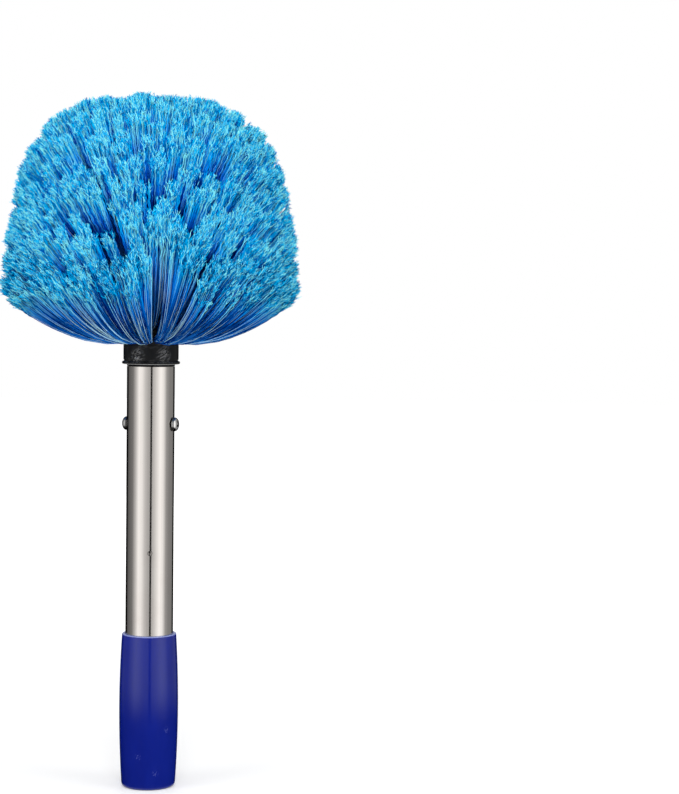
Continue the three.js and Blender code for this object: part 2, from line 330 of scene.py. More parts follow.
@dataclass(frozen=True)
class TubeSteel(Finish):
    """Drawn stainless tube, smooth: faint grain along it, hand smudges and a darker punch mark."""

    smooth: float = 0.085
    rough: float = 0.16
    relief: Span = (0.02, 0.2)
    bright: Colour = (0.705, 0.672, 0.638)
    dull: Colour = (0.635, 0.585, 0.552)
    darkening: Colour = (0.12, 0.11, 0.10)
    darkening_share: float = 0.85
    mark: Place = (0.0, -11.8, 119.2)
    mark_inner: float = 0.52
    mark_outer: float = 1.3
    grain: Cloud = Cloud(2600.0, 3.0, stretch=80.0, limits=(0.35, 0.75))
    grain_share: float = 0.35
    drift: Cloud = Cloud(90.0, stretch=4.0, limits=(0.35, 0.7))
    drift_share: float = 0.3
    smudge: Cloud = Cloud(55.0, 4.0, 0.6, limits=(0.52, 0.74))
    smudge_share: float = 0.35

    def sockets(self, sheet: NodeSheet) -> dict:
        """Wires the shader's sockets.

        Args:
            sheet: the material's sheet.

        Returns:
            A value or a wire for each socket.
        """
        drift = sheet.noise(self.drift)
        dulling = sheet.patches(self.grain) * self.grain_share
        dulling = dulling + drift.between(*self.drift.limits) * self.drift_share
        dulling = (dulling + sheet.patches(self.smudge) * self.smudge_share).at_most(1.0)
        # The colour is made darker round the punch mark.
        mark = sheet.near([self.mark], self.mark_inner, self.mark_outer)
        steel = sheet.blend(dulling, self.bright, self.dull)
        return {
            "Base Color": sheet.blend(mark * self.darkening_share, steel, self.darkening),
            "Metallic": 1.0,
            "Roughness": self.roughness(dulling),
            "Normal": sheet.bump(drift, *self.relief),
        }


@dataclass(frozen=True)
class ScrewSteel(Finish):
    """Bright plated screw with tiny tool marks, painted shade in its recess and a painted shadow round its
    rim.
    """

    smooth: float = 0.14
    rough: float = 0.34
    relief: Span = (0.02, 0.5)
    marks: Cloud = Cloud(1500.0, 4.0, 0.65, limits=(0.5, 0.75))
    bright: Colour = (0.80, 0.795, 0.78)
    dark: Colour = (0.50, 0.49, 0.48)
    # Painted shade: this colour darkens the cross recess, and as a painted shadow the rim of the head.
    darkening: Colour = (0.02, 0.02, 0.02)
    heading: float = math.radians(-20)
    height: float = 183.2
    land: float = 12.85
    crown: float = 2.0
    head_radius: float = 3.5
    rim: float = 0.3
    recess_radius: float = 2.35
    recess_edge: float = 0.1
    recess_depths: Span = (0.08, 0.25)
    wear_share: float = 0.5
    rim_shadow_share: float = 0.6

    def sockets(self, sheet: NodeSheet) -> dict:
        """Wires the shader's sockets.

        Args:
            sheet: the material's sheet.

        Returns:
            A value or a wire for each socket.
        """
        marks = sheet.noise(self.marks)
        wear = marks.between(*self.marks.limits)
        x, y, z = sheet.millimetres()
        cosine, sine = math.cos(self.heading), math.sin(self.heading)
        out = x * cosine + y * sine
        out = out.at_least(out * -1)
        beside = y * cosine - x * sine
        rise = z - self.height
        radius = (beside * beside + rise * rise) ** 0.5
        bulge = (1 - radius * radius / self.head_radius**2).at_least(0.0) ** 0.5
        # Painted shade in the cross recess, and a painted shadow round the rim of the head.
        sunk = (bulge * self.crown + self.land - out).between(*self.recess_depths)
        recess = sunk * (1 - radius.between(self.recess_radius, self.recess_radius + self.recess_edge))
        rim = radius.between(self.head_radius - self.rim, self.head_radius)
        darkening = (recess + rim * self.rim_shadow_share).at_most(1.0)
        plain = sheet.blend(wear * self.wear_share, self.bright, self.dark)
        return {
            "Base Color": sheet.blend(darkening, plain, self.darkening),
            "Metallic": 1.0,
            "Roughness": self.roughness(wear + darkening),
            "Normal": sheet.bump(marks, *self.relief),
        }


@dataclass(frozen=True)
class GripPlastic(Finish):
    """Glossy royal blue moulding with a soft swirl in its colour, a painted highlight on its brim and a few
    scuffs.
    """

    smooth: float = 0.15
    rough: float = 0.5
    relief: Span = (0.008, 0.3)
    swirl: Cloud = Cloud(60.0, 3.0, 0.55, stretch=2.5, limits=(0.35, 0.65))
    flecks: Cloud = Cloud(1900.0, 3.0, stretch=3.0, lean=0.4, limits=(0.50, 0.66))
    handling: Cloud = Cloud(260.0, 4.0, 0.6, limits=(0.6, 0.78))
    skin: Cloud = Cloud(900.0)
    colour: Colour = srgb(12, 30, 129)
    deep: Colour = srgb(10, 26, 120)
    # The brim colour is a painted highlight: a pale line round the sleeve's top edge.
    brim: Colour = srgb(150, 162, 218)
    brim_highlight_share: float = 0.85
    brim_highlight_low: float = 77.0
    brim_highlight_high: float = 77.25
    scuffed: Colour = srgb(74, 86, 168)
    scuff_share: float = 0.55
    scuff_inner: float = 0.2
    scuff_outer: float = 2.2
    handled_share: float = 0.3
    scuffs: tuple[Place, ...] = (
        (-5.2, -13.3, 17.0),
        (3.4, -13.8, 8.8),
        (8.8, -11.9, 30.5),
        (-10.4, 9.6, 24.0),
        (6.0, 13.4, 52.0),
    )

    def sockets(self, sheet: NodeSheet) -> dict:
        """Wires the shader's sockets.

        Args:
            sheet: the material's sheet.

        Returns:
            A value or a wire for each socket.
        """
        scuff = sheet.near(self.scuffs, self.scuff_inner, self.scuff_outer)
        scuff = (scuff * sheet.patches(self.flecks)).at_most(1.0)
        # Painted highlight: the top edge of the brim is painted pale.
        brim = sheet.millimetres()[2].between(self.brim_highlight_low, self.brim_highlight_high)
        plain = sheet.blend(sheet.patches(self.swirl), self.deep, self.colour)
        plain = sheet.blend(brim * self.brim_highlight_share, plain, self.brim)
        return {
            "Base Color": sheet.blend(scuff * self.scuff_share, plain, self.scuffed),
            "Roughness": self.roughness(sheet.patches(self.handling) * self.handled_share + scuff),
            "Normal": sheet.bump(sheet.noise(self.skin), *self.relief),
        }


@dataclass(frozen=True)
class BlackMoulding(Finish):
    """Semi-matt black moulding, finely textured and rubbed pale, with a painted highlight and painted shade
    under its flange.
    """

    smooth: float = 0.28
    rough: float = 0.6
    gloss: float = 0.15
    patches: Cloud = Cloud(120.0, limits=(0.46, 0.6))
    streaks: Cloud = Cloud(1200.0, 3.0, 0.6, stretch=4.0, lean=1.15, limits=(0.46, 0.62))
    skin: Cloud = Cloud(1300.0, 3.0, 0.6)
    colour: Colour = srgb(20, 21, 23)
    rubbed: Colour = srgb(150, 150, 150)
    # The edge colour is a painted highlight along the lower edge of the flange's bead.
    edge: Colour = srgb(150, 150, 150)
    # The foot colour is painted shade: below the flange's edge the moulding is painted near black.
    foot: Colour = srgb(3, 3, 4)
    painted_shade_top: float = 212.75
    highlight_foot: float = 213.05
    highlight_top: float = 213.4
    fade: float = 0.15
    rubs: tuple[Place, ...] = ((-6.6, -11.5, 217.4), (6.2, -11.8, 217.8))
    rub_inner: float = 1.38
    rub_outer: float = 4.6
    rub_foot: float = 214.2
    rub_fade: float = 0.4
    rub_share: float = 0.7
    worn_share: float = 0.25
    pale_share: float = 0.75
    skin_share: float = 0.4

    def sockets(self, sheet: NodeSheet) -> dict:
        """Wires the shader's sockets.

        Args:
            sheet: the material's sheet.

        Returns:
            A value or a wire for each socket.
        """
        height = sheet.millimetres()[2]
        patches = sheet.patches(self.patches) * self.worn_share
        patches = patches + sheet.near(self.rubs, self.rub_inner, self.rub_outer) * self.rub_share
        patches = patches * height.between(self.rub_foot - self.rub_fade, self.rub_foot)
        rub = patches * sheet.patches(self.streaks)
        # Painted highlight: a pale band on the flange's lower edge, where it would catch the floor's light.
        painted_edge_highlight = height.between(self.highlight_foot, self.highlight_foot + self.fade)
        painted_edge_highlight = painted_edge_highlight * (1 - height.between(self.highlight_top, self.highlight_top + self.fade))
        skin = sheet.noise(self.skin)
        tone = sheet.blend(rub * self.pale_share, self.colour, self.rubbed)
        # Painted shade: the colour falls to near black below the flange's edge.
        tone = sheet.blend(height.between(self.painted_shade_top, self.highlight_foot), self.foot, tone)
        return {
            "Base Color": sheet.blend(painted_edge_highlight, tone, self.edge),
            "Roughness": self.roughness(rub + skin * self.skin_share),
            "Specular IOR Level": self.gloss,
            "Normal": sheet.bump(skin + rub, *self.relief),
        }


@dataclass(frozen=True)
class InsertPlastic(Finish):
    """Dark grey nylon with a dry, slightly grainy skin."""

    smooth: float = 0.42
    rough: float = 0.62
    grain: Cloud = Cloud(1100.0, 3.0, 0.6)
    dust: Cloud = Cloud(160.0, 3.0, limits=(0.45, 0.7))
    colour: Colour = srgb(46, 48, 56)
    dusty: Colour = srgb(66, 68, 76)

    def sockets(self, sheet: NodeSheet) -> dict:
        """Wires the shader's sockets.

        Args:
            sheet: the material's sheet.

        Returns:
            A value or a wire for each socket.
        """
        grain = sheet.noise(self.grain)
        return {
            "Base Color": sheet.blend(sheet.patches(self.dust), self.colour, self.dusty),
            "Roughness": self.roughness(grain),
            "Normal": sheet.bump(grain, *self.relief),
        }


@dataclass(frozen=True)
class BristleFilament(Finish):
    """Translucent blue filament: painted shade towards the block, and a pale flagged end that is partly
    painted highlight.

    A filament's strip of the map runs from its root at v = 0 to its tip at v = 1, and u is its own
    shade from dark at 0 to pale at 1, so filaments that share a strip share a colour.
    """

    map_name: str = "OFBake"
    # The lengthways stops paint light and shade. The root and the band from 0.58 to 0.68 are darkest, as
    # painted shade deep between clumps. The band from 0.22 to 0.44 is lighter, as painted light on strands
    # seen from below. The tip is pale, partly the flagged ends' own colour and partly painted highlight.
    lengthways: Stops = (
        (0.00, srgb(6, 20, 76)),
        (0.22, srgb(84, 168, 246)),
        (0.44, srgb(48, 136, 228)),
        (0.58, srgb(6, 60, 146)),
        (0.68, srgb(0, 56, 150)),
        (0.80, srgb(0, 130, 246)),
        (0.90, srgb(0, 174, 255)),
        (1.00, srgb(0, 200, 255)),
    )
    dim: Colour = (0.0, 0.16, 0.52)
    # The pale tip colour is partly the flagged ends' own paleness and partly a painted highlight, as the
    # filament has no gloss.
    pale_tip_highlight: Colour = srgb(142, 246, 255)
    # The sheen line colour is a painted sheen on the thin strands.
    painted_sheen_line: Colour = srgb(196, 228, 255)
    dim_shades: Span = (0.0, 0.5)
    tip_shades: Span = (0.68, 0.9)
    tip_start: Span = (0.7, 0.97)
    sheen_line_shades: Span = (0.91, 0.93)
    sheen_line_start: Span = (0.0, 0.08)
    sheen_line_end: Span = (0.6, 0.9)

    def sockets(self, sheet: NodeSheet) -> dict:
        """Wires the shader's sockets.

        Args:
            sheet: the material's sheet.

        Returns:
            A value or a wire for each socket.
        """
        strip = sheet.wire("ShaderNodeUVMap", settings={"uv_map": self.map_name})
        shade, along, _ = sheet.split(strip)
        dye = sheet.ramp(along, self.lengthways)
        dimmed = sheet.blend(1.0, dye, self.dim, "MULTIPLY")
        toned = sheet.blend(shade.between(*self.dim_shades), dimmed, dye)
        # Painted highlight: the tips of the palest strands are painted paler still.
        tip = shade.between(*self.tip_shades) * along.between(*self.tip_start)
        varied = sheet.blend(tip, toned, self.pale_tip_highlight)
        # Painted sheen: the thin strands are painted pale along most of their length.
        pale = shade.between(*self.sheen_line_shades) * (1 - along.between(*self.sheen_line_end))
        pale = pale * along.between(*self.sheen_line_start)
        return {
            "Base Color": sheet.blend(pale, varied, self.painted_sheen_line),
            "Roughness": self.smooth,
            "Specular IOR Level": 0.0,
        }


@dataclass(frozen=True)
class LitFanFilament(BristleFilament):
    """The lowest tufts' filament, seen from its side, painted paler along its length as painted light on the
    shaded underside.
    """

    # These stops are paler than the tufts': painted light on the brush's underside, which lies in shade. The
    # root is darkest, as painted shade.
    lengthways: Stops = (
        (0.00, srgb(6, 20, 76)),
        (0.10, srgb(22, 98, 196)),
        (0.35, srgb(36, 134, 226)),
        (0.66, srgb(2, 94, 190)),
        (0.80, srgb(0, 132, 244)),
        (0.92, srgb(0, 174, 255)),
        (1.00, srgb(0, 198, 255)),
    )
    dim: Colour = (0.0, 0.06, 0.24)
    painted_sheen_line: Colour = srgb(188, 236, 255)


# Meshes


def linked(name: str, data: bpy.types.ID) -> bpy.types.Object:
    """Makes an object of some data and links it to the scene.

    Args:
        name: the object's name.
        data: its mesh, lamp or camera.

    Returns:
        The object.
    """
    made = bpy.data.objects.new(name, data)
    bpy.context.scene.collection.objects.link(made)
    return made


def dressed(name: str, mesh: bpy.types.Mesh, finish: Finish) -> bpy.types.Object:
    """Returns a mesh as a piece of this finish, riding on the body."""
    mesh.materials.append(finish.material())
    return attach(linked(name, mesh), BODY)


@dataclass
class Draft:
    """Points in millimetres and the faces between them, before they become an object."""

    points: np.ndarray
    faces: list[tuple[int, ...]]

    def joined(self, other: "Draft") -> "Draft":
        """Joins another draft to this one.

        Args:
            other: the other draft.

        Returns:
            Both as one draft.
        """
        shift = len(self.points)
        moved = [tuple(corner + shift for corner in face) for face in other.faces]
        return Draft(np.vstack([self.points, other.points]), self.faces + moved)

    def placed(self, matrix: Matrix) -> "Draft":
        """Returns this draft moved by a matrix in millimetres."""
        turn = np.array(matrix.to_3x3())
        return Draft(self.points @ turn.T + np.array(matrix.to_translation()), self.faces)

    def mesh(self, name: str) -> bpy.types.Mesh:
        """Makes a mesh of this draft.

        Args:
            name: the mesh's name.

        Returns:
            The mesh, in metres.
        """
        mesh = bpy.data.meshes.new(name)
        mesh.from_pydata((self.points * METRES).tolist(), [], self.faces)
        return mesh

    def object(self, name: str, finish: Finish, smooth_angle: float = 40.0) -> bpy.types.Object:
        """Makes the Blender object.

        Args:
            name: the piece's name.
            finish: what it is made of.
            smooth_angle: edges that turn by more degrees than this stay sharp.

        Returns:
            The object, linked to the scene and riding on the body.
        """
        mesh = self.mesh(name)
        mesh.shade_smooth()
        mesh.set_sharp_from_angle(angle=math.radians(smooth_angle))
        mesh.validate()
        return dressed(name, mesh, finish)


def turned(outline: Outline, sides: int, closed: bool = True, press: Press | None = None) -> Draft:
    """Turns an outline about the Z axis.

    Args:
        outline: (radius, height) points, with the material on their left.
        sides: how many steps the full turn has.
        closed: whether the last point joins the first.
        press: gives how far points move outwards, from their angles, heights and radii.

    Returns:
        The turned surface. A point at radius 0 becomes one point on the axis.
    """
    count = len(outline)
    radii, heights = np.array(outline, float).T
    angles = np.linspace(0, 2 * math.pi, sides, endpoint=False)
    angle, height = np.meshgrid(angles, heights)
    radius = np.repeat(radii[:, None], sides, axis=1)
    if press is not None:
        radius = radius + press(angle, height, radius)
    points = np.stack([radius * np.cos(angle), radius * np.sin(angle), height], axis=-1).reshape(-1, 3)
    corner = np.arange(count * sides).reshape(count, sides)
    on_axis = radii < 1e-6
    corner[on_axis] = corner[on_axis][:, :1]
    faces = []
    for row in range(count if closed else count - 1):
        here, above = corner[row], corner[(row + 1) % count]
        for side in range(sides):
            beside = (side + 1) % sides
            around = (here[side], here[beside], above[beside], above[side])
            face = tuple(dict.fromkeys(int(index) for index in around))
            if len(face) > 2:
                faces.append(face)
    used = sorted({index for face in faces for index in face})
    renumbered = {old: new for new, old in enumerate(used)}
    return Draft(points[used], [tuple(renumbered[index] for index in face) for face in faces])


def rounded(corners: Sequence[Place], steps: int = 5, closed: bool = True) -> Outline:
    """Rounds the corners of an outline.

    Args:
        corners: (radius, height, rounding) of each corner.
        steps: how many steps each round has.
        closed: whether the last corner joins the first.

    Returns:
        The rounded outline. A point just beyond each round keeps the walls flat when shaded smooth.
    """
    most_margin, margin_share = 0.12, 0.3
    outline: Outline = []
    count = len(corners)
    for number, (radius, height, rounding) in enumerate(corners):
        here = np.array([radius, height])
        if rounding <= 0 or (not closed and number in (0, count - 1)):
            outline.append((radius, height))
            continue
        before, after = (
            unit(np.array(corners[(number + step) % count][:2]) - here) for step in (-1, 1)
        )
        half = math.acos(float(np.clip(before @ after, -1, 1))) / 2
        reach = rounding / math.tan(half)
        centre = here + unit(before + after) * rounding / math.sin(half)
        first, last = here + before * reach - centre, here + after * reach - centre
        sweep = math.atan2(first[0] * last[1] - first[1] * last[0], float(first @ last))
        margin = min(most_margin, rounding * margin_share)
        outline.append(tuple(here + before * (reach + margin)))
        for step in range(steps + 1):
            angle = sweep * step / steps
            spin = np.array([[math.cos(angle), -math.sin(angle)], [math.sin(angle), math.cos(angle)]])
            outline.append(tuple(centre + spin @ first))
        outline.append(tuple(here + after * (reach + margin)))
    return outline


def slab(width: float, thickness: float, foot: float, top: float, turn: float) -> Draft:
    """Makes an upright plate through the axis.

    Args:
        width: its width.
        thickness: its thickness.
        foot: the height of its lower edge.
        top: the height of its upper edge.
        turn: how far it is turned about Z, in radians.

    Returns:
        The plate.
    """
    signs = ((-1, -1), (1, -1), (1, 1), (-1, 1))
    points = [(x * width / 2, y * thickness / 2, z) for z in (foot, top) for x, y in signs]
    faces = [(3, 2, 1, 0), (4, 5, 6, 7)]
    faces += [(side, (side + 1) % 4, (side + 1) % 4 + 4, side + 4) for side in range(4)]
    return Draft(np.array(points, float), faces).placed(Matrix.Rotation(turn, 4, "Z"))


def thread_rise(angle: np.ndarray, height: np.ndarray, pitch: float, depth: float) -> np.ndarray:
    """Finds how far a screw thread with flat crests stands out.

    Args:
        angle: the points' angles.
        height: their heights.
        pitch: the height of one turn.
        depth: how deep the thread is.

    Returns:
        The rise at each point, from 0 to the depth.
    """
    flank = 0.3
    share = np.mod(height / pitch - angle / (2 * math.pi), 1.0)
    slope = np.abs(share - 0.5) * 2
    return depth * np.clip((slope - flank) / flank, 0.0, 1.0)


def unit(vectors: np.ndarray) -> np.ndarray:
    """Returns vectors at length 1."""
    least_length = 1e-9
    return vectors / np.maximum(np.linalg.norm(vectors, axis=-1, keepdims=True), least_length)


def dot(first: np.ndarray, second: np.ndarray) -> np.ndarray:
    """Returns the scalar products of vectors, with their last axis kept."""
    return np.sum(first * second, axis=-1, keepdims=True)


# Hard pieces


@dataclass
class PoleTube:
    """The steel tube, with rolled ends and the punch mark on its front."""

    finish: Finish
    radius: float = 12.0
    bore: float = 11.5
    foot: float = 2.2
    top: float = 212.2
    edge: float = 0.2
    end_margin: float = 2.0
    mark_height: float = 119.2
    mark_radius: float = 1.05
    mark_depth: float = 0.26
    mark_power: float = 1.2
    mark_zone: float = 7.0
    mark_step: float = 0.25
    sag_radius: float = 4.2
    sag_depth: float = 0.05
    rings_below: int = 10
    rings_above: int = 8
    sharp_angle: float = 60.0
    sides: int = 256

    def dent(self, angle: np.ndarray, height: np.ndarray, radius: np.ndarray) -> np.ndarray:
        """Finds how far the punch moves either wall.

        Args:
            angle: the points' angles.
            height: their heights.
            radius: their radii, which are not used.

        Returns:
            Moves outwards, below 0 at the mark.
        """
        around = np.arctan2(np.sin(angle + math.pi / 2), np.cos(angle + math.pi / 2)) * self.radius
        distance = np.hypot(around, height - self.mark_height)
        pit = self.mark_depth * np.clip(1 - (distance / self.mark_radius) ** 2, 0, 1) ** self.mark_power
        return -(pit + self.sag_depth * np.exp(-((distance / self.sag_radius) ** 2)))

    def heights(self) -> list[float]:
        """Sets the heights of the wall's rings, close together round the punch mark.

        Returns:
            The heights, from the bottom up.
        """
        zone, margin = self.mark_zone, self.end_margin
        near = np.arange(-zone, zone + TOUCHING, self.mark_step) + self.mark_height
        below = np.linspace(self.foot + margin, near[0] - margin, self.rings_below)
        above = np.linspace(near[-1] + margin, self.top - margin, self.rings_above)
        return [float(height) for height in np.concatenate([below, near, above])]

    def build(self) -> bpy.types.Object:
        """Builds the tube in place of its CAD node.

        Returns:
            The piece.
        """
        outer, inner = ([(wall, self.foot), (wall, self.top)] for wall in (self.radius, self.bore))
        ends = rounded([(*corner, self.edge) for corner in outer + inner[::-1]])
        outside = [(self.radius, height) for height in self.heights()]
        inside = [(self.bore, height) for height in reversed(self.heights())]
        quarter = len(ends) // 4
        outline = ends[:quarter] + outside + ends[quarter : 3 * quarter] + inside + ends[3 * quarter :]
        draft = turned(outline, self.sides, press=self.dent)
        piece = draft.object("pole_tube_shell", self.finish, self.sharp_angle)
        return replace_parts(piece, "pole_tube")


@dataclass
class GripSleeve:
    """The blue barrel-shaped sleeve over the tube's lower end."""

    finish: Finish
    length: float = 77.5
    bore: float = 12.25
    mouth_radius: float = 13.55
    belly_radius: float = 14.8
    brim_radius: float = 13.65
    belly_height: float = 40.0
    foot_round: float = 1.6
    brim_round: float = 0.6
    bore_round: float = 0.12
    seat_round: float = 0.2
    lip_round: float = 0.1
    mouth_round: float = 0.15
    lip: float = 2.0
    opening: float = 10.3
    chamfer: float = 0.6
    foot_steps: int = 8
    steps: int = 48
    sides: int = 160

    def barrel(self) -> Outline:
        """Draws the outside between the rounds of the foot and the brim.

        Returns:
            The outline, from the bottom up.
        """
        low, high = self.foot_round, self.length - self.brim_round
        outline = []
        for height in np.linspace(low, high, self.steps + 1)[1:-1]:
            far, end = (low, self.mouth_radius) if height < self.belly_height else (high, self.brim_radius)
            share = (height - self.belly_height) / (far - self.belly_height)
            outline.append((self.belly_radius - (self.belly_radius - end) * share**2, float(height)))
        return outline

    def build(self) -> bpy.types.Object:
        """Builds the sleeve in place of its CAD node.

        Returns:
            The piece.
        """
        mouth = self.opening + self.chamfer
        foot = [
            (mouth, 0.0, 0.0),
            (self.mouth_radius, 0.0, self.foot_round),
            (self.mouth_radius, self.foot_round * 2, 0.0),
        ]
        brim = [
            (self.brim_radius, self.length - self.brim_round * 2, 0.0),
            (self.brim_radius, self.length, self.brim_round),
            (self.bore, self.length, self.bore_round),
            (self.bore, self.lip, self.seat_round),
            (self.opening, self.lip, self.lip_round),
            (self.opening, self.chamfer, self.lip_round),
            (mouth, 0.0, self.mouth_round),
            (self.mouth_radius, 0.0, 0.0),
        ]
        low = rounded(foot, self.foot_steps, closed=False)[1:-2]
        high = rounded(brim, closed=False)[2:-1]
        piece = turned(low + self.barrel() + high, self.sides).object("grip_sleeve_shell", self.finish)
        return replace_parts(piece, "grip_sleeve")


@dataclass
class SocketInsert:
    """The insert in the tube's lower end, with the female thread that takes a pole."""

    finish: Finish
    radius: float = 11.25
    foot: float = 2.2
    top: float = 126.0
    edge: float = 0.3
    socket_radius: float = 8.9
    socket_top: float = 44.2
    mouth_bevel: float = 0.8
    mouth_round: float = 0.15
    floor: float = 2.5
    floor_round: float = 0.4
    wall: float = 1.8
    wall_round: float = 0.2
    rib: float = 1.6
    groove_middle: float = 118.0
    groove_half: float = 3.5
    groove_depth: float = 0.8
    groove_round: float = 0.1
    thread_pitch: float = 5.08
    thread_depth: float = 0.9
    thread_start: float = 5.0
    thread_end: float = 41.2
    thread_run: float = 1.5
    ring_step: float = 0.22
    ring_gap_top: float = 0.4
    ring_gap_foot: float = 0.9
    sides: int = 96

    def thread(self, angle: np.ndarray, height: np.ndarray, radius: np.ndarray) -> np.ndarray:
        """Finds how deep the thread is cut into the socket's wall.

        Args:
            angle: the points' angles.
            height: their heights.
            radius: their radii.

        Returns:
            Moves outwards, which are 0 off that wall.
        """
        on_wall = np.abs(radius - self.socket_radius) < TOUCHING
        run_in = np.clip((height - self.thread_start) / self.thread_run, 0, 1)
        run_out = np.clip((self.thread_end - height) / self.thread_run, 0, 1)
        rise = thread_rise(angle, height, self.thread_pitch, self.thread_depth)
        return np.where(on_wall, rise * run_in * run_out, 0.0)

    def build(self) -> bpy.types.Object:
        """Builds the insert in place of its CAD node.

        Returns:
            The piece.
        """
        core = self.radius - self.wall
        ledge = self.socket_top + self.floor
        low, high = self.groove_middle - self.groove_half, self.groove_middle + self.groove_half
        groove = self.radius - self.groove_depth
        corners = [
            (self.socket_radius + self.mouth_bevel, self.foot, self.mouth_round),
            (self.radius, self.foot, self.edge),
            (self.radius, low, self.groove_round),
            (groove, low, self.groove_round),
            (groove, high, self.groove_round),
            (self.radius, high, self.groove_round),
            (self.radius, self.top, self.edge),
            (core, self.top, self.wall_round),
            (core, ledge, self.floor_round),
            (0.0, ledge, 0.0),
            (0.0, self.socket_top, 0.0),
        ]
        top, foot = self.socket_top - self.ring_gap_top, self.foot + self.ring_gap_foot
        rows = [self.socket_top, *np.arange(top, foot, -self.ring_step), self.foot + self.mouth_bevel]
        bore = [(self.socket_radius, float(row)) for row in rows]
        body = turned(rounded(corners, steps=3, closed=False) + bore, self.sides, press=self.thread)
        width, top = 2 * self.radius - self.wall, self.top - self.wall
        for turn in (0.0, math.pi / 2):
            body = body.joined(slab(width, self.rib, self.socket_top + self.floor / 2, top, turn))
        piece = body.object("socket_insert_body", self.finish)
        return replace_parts(piece, "socket_insert")


@dataclass
class HeadMoulding:
    """The black moulding: spigot, flange and collar, with the post that the block sits on."""

    finish: Finish
    spigot_radius: float = 11.25
    spigot_foot: float = 166.4
    spigot_wall: float = 2.2
    roof: float = 209.4
    register_foot: float = 212.4
    register_radius: float = 12.0
    flange_foot: float = 213.2
    flange_top: float = 214.8
    flange_radius: float = 14.5
    flange_round: float = 0.768
    neck_radius: float = 13.5
    neck_top: float = 215.5
    collar_radius: float = 13.8
    collar_top: float = 222.8
    post_radius: float = 7.0
    post_top: float = 275.8
    edge: float = 0.3
    small_edge: float = 0.2
    spigot_edge: float = 0.8
    shoulder_round: float = 0.1
    register_round: float = 0.08
    groove_round: float = 0.12
    neck_round: float = 0.15
    neck_edge: float = 0.05
    web: float = 1.8
    web_foot: float = 168.6
    web_top: float = 210.4
    web_turn: float = math.radians(-20)
    sides: int = 144

    def build(self) -> bpy.types.Object:
        """Builds the moulding in place of its CAD node.

        Returns:
            The piece.
        """
        core = self.spigot_radius - self.spigot_wall
        corners = [
            (core, self.spigot_foot, self.small_edge),
            (self.spigot_radius, self.spigot_foot, self.spigot_edge),
            (self.spigot_radius, self.register_foot, self.shoulder_round),
            (self.register_radius, self.register_foot, self.register_round),
            (self.register_radius, self.flange_foot, self.groove_round),
            (self.flange_radius, self.flange_foot, self.flange_round),
            (self.flange_radius, self.flange_top, self.flange_round),
            (self.neck_radius, self.flange_top, self.neck_round),
            (self.neck_radius, self.neck_top, self.neck_edge),
            (self.collar_radius, self.neck_top, self.groove_round),
            (self.collar_radius, self.collar_top, self.edge),
            (self.post_radius, self.collar_top, self.small_edge),
            (self.post_radius, self.post_top, self.edge),
            (0.0, self.post_top, 0.0),
            (0.0, self.roof, 0.0),
            (core, self.roof, self.edge),
        ]
        body = turned(rounded(corners), self.sides)
        width = 2 * self.spigot_radius - self.spigot_wall
        for turn in (self.web_turn, self.web_turn + math.pi / 2):
            body = body.joined(slab(width, self.web, self.web_foot, self.web_top, turn))
        piece = body.object("head_moulding", self.finish)
        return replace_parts(piece, "head_stem")


class Side(Enum):
    """The two screws, each with its CAD node and its heading about Z in degrees."""

    RIGHT = ("screw_right", -20.0)
    LEFT = ("screw_left", 160.0)


